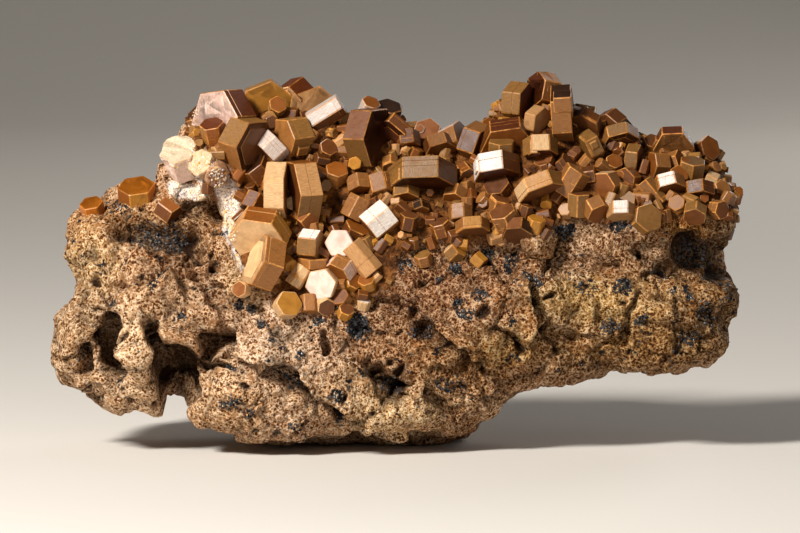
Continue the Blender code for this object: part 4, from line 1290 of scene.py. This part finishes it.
def build_crust(settings):
    """The large crystals, with smaller parallel growths on the widest."""
    chance = steady(settings.seed)
    rim = settings.rim / MM
    bm = crystal_bmesh()
    for matrix, across, thick, _, _, look in crust_crystals():
        steps = 1 if across > STEPPED_WIDTH and chance.random() < 0.6 else 0
        add_crystal(bm, matrix, across, thick, look, chance, rim, steps=steps)
        for _ in range(chance.choice((0, 1, 2)) if across > TWINNED_WIDTH else 0):
            angle, out = chance.uniform(0, math.tau), across * chance.uniform(0.22, 0.34)
            small = across * chance.uniform(0.28, 0.5)
            offset = Vector((math.cos(angle) * out, math.sin(angle) * out, chance.uniform(-0.2, 0.2) * thick))
            beside, low = matrix @ Matrix.Translation(offset), thick * chance.uniform(0.5, 0.9)
            add_crystal(bm, beside, small, low, look, chance, rim)
    kept_in_box(bm)
    obj = new_object("crust_crystals", bm, crystal_material(settings, "vanadinite_crust"))
    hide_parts("crystal_crust")
    return obj


def build_lone(settings):
    chance = steady(settings.seed + 1)
    for node, matrix, across, thick, look in lone_crystals():
        bm = crystal_bmesh()
        add_crystal(bm, matrix, across, thick, look, chance, settings.rim / MM, steps=1 if across > 4 else 0)
        name = node.replace("crystal", "lone")
        obj = new_object(name, bm, crystal_material(settings, "vanadinite_" + name))
        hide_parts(node)


def within(matrices, point, margin):
    """Whether the point is inside a large crystal by at least this much."""
    for inverse, across, thick in matrices:
        p = inverse @ point
        if abs(p.z) < thick / 2 - margin and math.hypot(p.x, p.y) < across * 0.45 - margin:
            return True
    return False


def templates(count, seed, rim):
    """Tiny crystals one millimetre wide."""
    chance = random.Random(seed)
    found = []
    for _ in range(count):
        bm = crystal_bmesh()
        thick = chance.uniform(0.55, 1.25)
        add_crystal(bm, Matrix.Identity(4), 1.0, thick, "b:tan *:tan", chance, rim, grooves=[], lit=0.3)
        mesh = bpy.data.meshes.new("tiny")
        bm.to_mesh(mesh)
        bm.free()
        found.append(mesh)
    return found


def add_tiny(bm, template, matrix, colour):
    """A copy of a tiny crystal in this colour."""
    mesh = template.copy()
    mesh.transform(matrix)
    layer = mesh.attributes["tone"]
    values = [0.0] * (4 * len(layer.data))
    layer.data.foreach_get("color", values)
    for i in range(0, len(values), 4):
        values[i:i + 3] = colour
    layer.data.foreach_set("color", values)
    bm.from_mesh(mesh)
    bpy.data.meshes.remove(mesh)


def aligned(place, axis, roll, size):
    """A frame at place whose Z is this axis."""
    turn = axis.to_track_quat("Z", "Y").to_matrix().to_4x4()
    return Matrix.Translation(place) @ turn @ Matrix.Rotation(roll, 4, "Z") @ Matrix.Scale(size, 4)


DRUSE_SHAPES, DRUSE_RIM = 8, 0.055        # how many shapes the druse is made of, and their bevel
DRUSE_COVER = 0.3                         # no druse where the crust covers less of the rock than this
DRUSE_COLOURS = (
    "tan", "tan", "khaki", "khaki", "ochre", "brown", "brown", "brown", "rose", "golden", "peach",
)


def build_druse(settings):
    """Tiny crystals over the layer between the large ones, thinning out below the crust's edge."""
    chance = steady(settings.seed + 2)
    rock = bpy.data.objects["rock"]
    mesh = rock.data
    crust = [0.0] * (4 * len(mesh.vertices))
    mesh.attributes["tint"].data.foreach_get("color", crust)
    covered = []
    for polygon in mesh.polygons:
        share = crust[4 * polygon.vertices[0] + 3]
        if share > DRUSE_COVER:
            covered.append((polygon.index, polygon.area * (0.5 + share)))
    weights, total = [], 0.0
    for _, area in covered:
        total += area
        weights.append(total)
    picked = chance.choices(covered, cum_weights=weights, k=settings.druse)
    large = [(m.inverted(), across, thick) for m, across, thick, _, _, _ in crust_crystals()]
    shapes = templates(DRUSE_SHAPES, settings.seed, DRUSE_RIM)
    biggest = settings.druse_size / MM
    bm = crystal_bmesh()
    for index, _ in picked:
        polygon = mesh.polygons[index]
        place, normal = polygon.center / MM, polygon.normal
        size = biggest * chance.uniform(0.34, 1.0) ** 1.3
        lean = Vector((chance.gauss(0, 0.7), chance.gauss(0, 0.7), chance.gauss(0, 0.7)))
        axis = normal * 0.55 + lean
        axis.y *= 0.5
        axis.normalize()
        roll = chance.uniform(0, math.tau)
        shape = chance.choice(shapes)
        colour = FACE_COLOURS_AND_LIGHT[chance.choice(DRUSE_COLOURS)]
        shade = chance.uniform(0.75, 1.15)
        if within(large, place, -0.1):
            continue
        place = place + normal * size * 0.15
        add_tiny(bm, shape, aligned(place, axis, roll, size), [c * shade for c in colour])
    kept_in_box(bm)
    return new_object("druse", bm, crystal_material(settings, "vanadinite_druse"))


def front_trees():
    """What the eye meets first: the rock and the large crystals."""
    graph = bpy.context.evaluated_depsgraph_get()
    return [BVHTree.FromObject(bpy.data.objects[name], graph) for name in ("rock", "crust_crystals")]


def met(trees, x, h):
    """Where the eye's line through x, h first meets one of these, in millimetres, and the normal there."""
    eye, ray = sight(x, h)
    best = None
    for tree in trees:
        place, normal, _, far = tree.ray_cast((eye + CENTRING) * MM, ray.normalized())
        if place is not None and (best is None or far < best[2]):
            best = (place / MM, normal, far)
    return best


def grain(bm, chance, place, radius, colour=None, squash=0.75, flat=False):
    """A small uneven ball."""
    made = bmesh.ops.create_icosphere(bm, subdivisions=1, radius=radius)["verts"]
    for v in made:
        v.co *= chance.uniform(0.5 if flat else 0.75, 1.3)
    angle = chance.uniform(0, math.tau)
    turn = Matrix.Rotation(angle, 4, Vector((chance.gauss(0, 1), chance.gauss(0, 1), 1)))
    wide, high = chance.uniform(squash, 1), chance.uniform(squash, 1)
    shape = Matrix.Translation(place) @ turn @ Matrix.Diagonal((1, wide, high, 1))
    bmesh.ops.transform(bm, matrix=shape, verts=made)
    if colour is not None:
        tone = bm.loops.layers.float_color["tone"]
        for face in {f for v in made for f in v.link_faces}:
            for loop in face.loops:
                loop[tone] = (*colour, 0.0)


CRUMBS_PER_AREA = 9                       # for each square millimetre of the broken edge
CRUMB_COLOURS = (
    (0.86, 0.76, 0.66), (0.84, 0.66, 0.46), (0.80, 0.60, 0.36), (0.72, 0.40, 0.08), (0.52, 0.46, 0.46),
    (0.86, 0.70, 0.52),
)


def build_broken_edge(settings):
    """Sugary crumbs along the crust's broken left edge."""
    chance = steady(settings.seed + 3)
    trees = front_trees()
    bm = bmesh.new()
    bm.loops.layers.float_color.new("tone")
    for x0, h0, x1, h1, half in BROKEN_EDGE:
        length = math.hypot(x1 - x0, h1 - h0) + half
        for _ in range(int(length * half * CRUMBS_PER_AREA)):
            t = chance.random()
            x = x0 + (x1 - x0) * t + chance.gauss(0, 0.45) * half
            h = h0 + (h1 - h0) * t + chance.gauss(0, 0.45) * half
            hit = met(trees, x, h)
            if hit is None:
                continue
            radius = chance.uniform(0.09, 0.30)
            colour = chance.choice(CRUMB_COLOURS)
            grain(bm, chance, hit[0] - hit[1] * radius * 0.1, radius, colour, 0.5, True)
    kept_in_box(bm)
    return new_object("broken_edge", bm, crumb_material())


GRAINS_PER_AREA = 20                      # for each square millimetre of an oxide patch's half sizes
LOOSE_CLUSTERS = 420                      # places anywhere on the rock with one to three loose grains


def build_oxide(settings):
    """Black grains in their patches on the front, and loose ones all over the rock."""
    chance = steady(settings.seed)
    trees = front_trees()
    biggest = settings.grain / MM
    bm = bmesh.new()
    for x, h, half_x, half_h, cover in OXIDE:
        for _ in range(int(GRAINS_PER_AREA * half_x * half_h * cover) + 4):
            angle, far = chance.uniform(0, math.tau), math.sqrt(chance.random())
            hit = met(trees[:1], x + math.cos(angle) * far * half_x, h + math.sin(angle) * far * half_h)
            if hit is not None:
                radius = biggest * chance.uniform(0.3, 1.0)
                grain(bm, chance, hit[0] - hit[1] * radius * 0.4, radius, squash=0.5)
    rock = bpy.data.objects["rock"].data
    for _ in range(LOOSE_CLUSTERS):
        polygon = rock.polygons[chance.randrange(len(rock.polygons))]
        for _ in range(chance.choice((1, 1, 2, 3))):
            step = Vector((chance.gauss(0, 0.5), chance.gauss(0, 0.5), chance.gauss(0, 0.5)))
            hit = trees[0].find_nearest((polygon.center / MM + step) * MM)
            if hit[0] is not None:
                grain(bm, chance, hit[0] / MM, biggest * chance.uniform(0.25, 0.6))
    kept_in_box(bm)
    return new_object("oxide_grains", bm, oxide_material(settings))


# ---------------------------------------------------------------------------------------------------------
# Studio
# ---------------------------------------------------------------------------------------------------------

# The floor, in metres: half its width, its near end, where it begins to curve up, the curve and the wall.
FLOOR_HALF, FLOOR_NEAR, FLOOR_FAR, FLOOR_BEND, FLOOR_WALL = 2.2, -1.6, 0.9, 0.8, 1.4
LIGHT_AIM = (0, 0, 0.033)
KEY_PLACE, KEY_SIZE = (-0.36, -0.42, 0.43), 0.12
FILL_PLACE, FILL_SIZE = (0.85, -0.75, 0.30), 0.55
BACK_PLACE, BACK_SIZE = (0.50, 0.80, 0.42), 0.45
SENSOR = 36.0
CAMERA_SHIFT = (0.00375, -0.0152)


def add_light(name, place, aim, size, power, colour):
    light = bpy.data.lights.new(name, "AREA")
    light.shape, light.size, light.energy, light.color = "SQUARE", size, power, colour
    obj = bpy.data.objects.new(name, light)
    obj.location = place
    obj.rotation_euler = (Vector(aim) - Vector(place)).to_track_quat("-Z", "Y").to_euler()
    obj.visible_camera = False
    bpy.context.scene.collection.objects.link(obj)


def build_studio(settings):
    bm = bmesh.new()
    ends = [bm.verts.new((x, FLOOR_NEAR, 0)) for x in (-FLOOR_HALF, FLOOR_HALF)]
    edge = bm.edges.new(ends)
    made = bmesh.ops.extrude_edge_only(bm, edges=[edge])["geom"]
    far = [g for g in made if isinstance(g, bmesh.types.BMVert)]
    bmesh.ops.translate(bm, vec=(0, FLOOR_FAR - FLOOR_NEAR, 0), verts=far)
    edge = next(g for g in made if isinstance(g, bmesh.types.BMEdge))
    bmesh.ops.spin(
        bm, geom=[edge, *edge.verts], cent=(0, FLOOR_FAR, FLOOR_BEND), axis=(1, 0, 0), dvec=(0, 0, 0),
        angle=math.radians(90), steps=14, use_merge=False, use_duplicate=False)
    back = FLOOR_FAR + FLOOR_BEND - 0.01
    top = [e for e in bm.edges if e.is_boundary and all(v.co.y > back for v in e.verts)]
    made = bmesh.ops.extrude_edge_only(bm, edges=top)["geom"]
    upper = [g for g in made if isinstance(g, bmesh.types.BMVert)]
    bmesh.ops.translate(bm, vec=(0, 0, FLOOR_WALL), verts=upper)
    bmesh.ops.remove_doubles(bm, verts=bm.verts, dist=1e-5)
    mesh = bpy.data.meshes.new("floor")
    bm.to_mesh(mesh)
    bm.free()
    n = Nodes("studio_floor")
    soft = n.noise(n.add("ShaderNodeTexCoord").outputs["Object"], 0.4, 2, 0.5)
    colour = n.mix(n.span(soft, 0.3, 0.7, 0.0, 0.04), settings.floor, (0.7, 0.68, 0.65))
    mesh.materials.append(n.finish(colour, 0.7))
    floor = bpy.data.objects.new("floor", mesh)
    bpy.context.scene.collection.objects.link(floor)
    floor.data.shade_smooth()
    add_light("key", KEY_PLACE, LIGHT_AIM, KEY_SIZE, settings.key, (1.0, 0.965, 0.91))
    add_light("fill", FILL_PLACE, LIGHT_AIM, FILL_SIZE, settings.fill, (1.0, 0.98, 0.96))
    add_light("back", BACK_PLACE, LIGHT_AIM, BACK_SIZE, settings.back, (1.0, 0.98, 0.95))
    world = bpy.data.worlds.new("studio")
    world.use_nodes = True
    background = world.node_tree.nodes["Background"]
    background.inputs["Color"].default_value = (1.0, 0.955, 0.90, 1)
    background.inputs["Strength"].default_value = settings.ambient
    bpy.context.scene.world = world
    bpy.context.scene.view_settings.view_transform = "Standard"
    camera = bpy.data.cameras.new("camera")
    camera.sensor_width = SENSOR
    camera.lens = SENSOR * EYE_DISTANCE / VIEW_WIDE
    camera.shift_x, camera.shift_y = CAMERA_SHIFT
    camera.clip_start, camera.clip_end = 0.05, 20
    obj = bpy.data.objects.new("camera", camera)
    eye, ahead, _ = eye_axes()
    obj.location = eye * MM
    obj.rotation_euler = ahead.to_track_quat("-Z", "Y").to_euler()
    bpy.context.scene.collection.objects.link(obj)
    bpy.context.scene.camera = obj


# ---------------------------------------------------------------------------------------------------------
# Operators, panel and registration
# ---------------------------------------------------------------------------------------------------------

class SPECIMEN_OT_rock(Operator):
    """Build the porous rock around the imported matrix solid"""
    bl_idname = "specimen.rock"
    bl_label = "Porous Rock"

    def execute(self, context):
        build_rock(context.scene.specimen_rock)
        return {"FINISHED"}


class SPECIMEN_OT_crust(Operator):
    """Build the large crystals of the crust"""
    bl_idname = "specimen.crust"
    bl_label = "Crystal Crust"

    def execute(self, context):
        build_crust(context.scene.specimen_crystals)
        return {"FINISHED"}


class SPECIMEN_OT_lone(Operator):
    """Build the crystals that stand alone in the rock"""
    bl_idname = "specimen.lone"
    bl_label = "Lone Crystals"

    def execute(self, context):
        build_lone(context.scene.specimen_crystals)
        return {"FINISHED"}


class SPECIMEN_OT_druse(Operator):
    """Cover the layer between the large crystals with tiny ones"""
    bl_idname = "specimen.druse"
    bl_label = "Fine Druse"

    def execute(self, context):
        if "rock" not in bpy.data.objects:
            raise RuntimeError("the druse grows on the rock, so build the rock first")
        build_druse(context.scene.specimen_crystals)
        return {"FINISHED"}


class SPECIMEN_OT_broken_edge(Operator):
    """Lay the pale crumbs along the crust's broken edge"""
    bl_idname = "specimen.broken_edge"
    bl_label = "Broken Edge"

    def execute(self, context):
        build_broken_edge(context.scene.specimen_crystals)
        return {"FINISHED"}


class SPECIMEN_OT_oxide(Operator):
    """Scatter the black manganese oxide grains"""
    bl_idname = "specimen.oxide"
    bl_label = "Oxide Grains"

    def execute(self, context):
        build_oxide(context.scene.specimen_oxide)
        return {"FINISHED"}


class SPECIMEN_OT_studio(Operator):
    """Set up the pale floor, the soft lights and the camera"""
    bl_idname = "specimen.studio"
    bl_label = "Studio"

    def execute(self, context):
        build_studio(context.scene.specimen_studio)
        return {"FINISHED"}


class SPECIMEN_PT_panel(Panel):
    """Sizes, colours and pieces of the specimen"""
    bl_idname = "SPECIMEN_PT_panel"
    bl_label = "Vanadinite on Matrix"
    bl_space_type = "VIEW_3D"
    bl_region_type = "UI"
    bl_category = "Specimen"

    def draw(self, context):
        layout = self.layout
        for title, group in SETTINGS:
            box = layout.box()
            box.label(text=title)
            values = getattr(context.scene, group)
            for key in values.__annotations__:
                box.prop(values, key)
        for operator in OPERATORS:
            layout.operator(operator.bl_idname)


OPERATORS = (
    SPECIMEN_OT_rock, SPECIMEN_OT_crust, SPECIMEN_OT_lone, SPECIMEN_OT_druse, SPECIMEN_OT_broken_edge,
    SPECIMEN_OT_oxide, SPECIMEN_OT_studio,
)
GROUPS = (
    ("specimen_rock", RockSettings), ("specimen_crystals", CrystalSettings),
    ("specimen_oxide", OxideSettings), ("specimen_studio", StudioSettings),
)
SETTINGS = (
    ("Rock", "specimen_rock"), ("Crystals", "specimen_crystals"), ("Oxide", "specimen_oxide"),
    ("Studio", "specimen_studio"),
)


def register():
    for name, group in GROUPS:
        bpy.utils.register_class(group)
        setattr(bpy.types.Scene, name, PointerProperty(type=group))
    for operator in OPERATORS:
        bpy.utils.register_class(operator)
    bpy.utils.register_class(SPECIMEN_PT_panel)


def unregister():
    bpy.utils.unregister_class(SPECIMEN_PT_panel)
    for operator in reversed(OPERATORS):
        bpy.utils.unregister_class(operator)
    for name, group in reversed(GROUPS):
        delattr(bpy.types.Scene, name)
        bpy.utils.unregister_class(group)


def main():
    register()
    bpy.ops.specimen.rock()
    bpy.ops.specimen.crust()
    bpy.ops.specimen.lone()
    bpy.ops.specimen.druse()
    bpy.ops.specimen.broken_edge()
    bpy.ops.specimen.oxide()
    bpy.ops.specimen.studio()


if __name__ == "__main__":
    main()
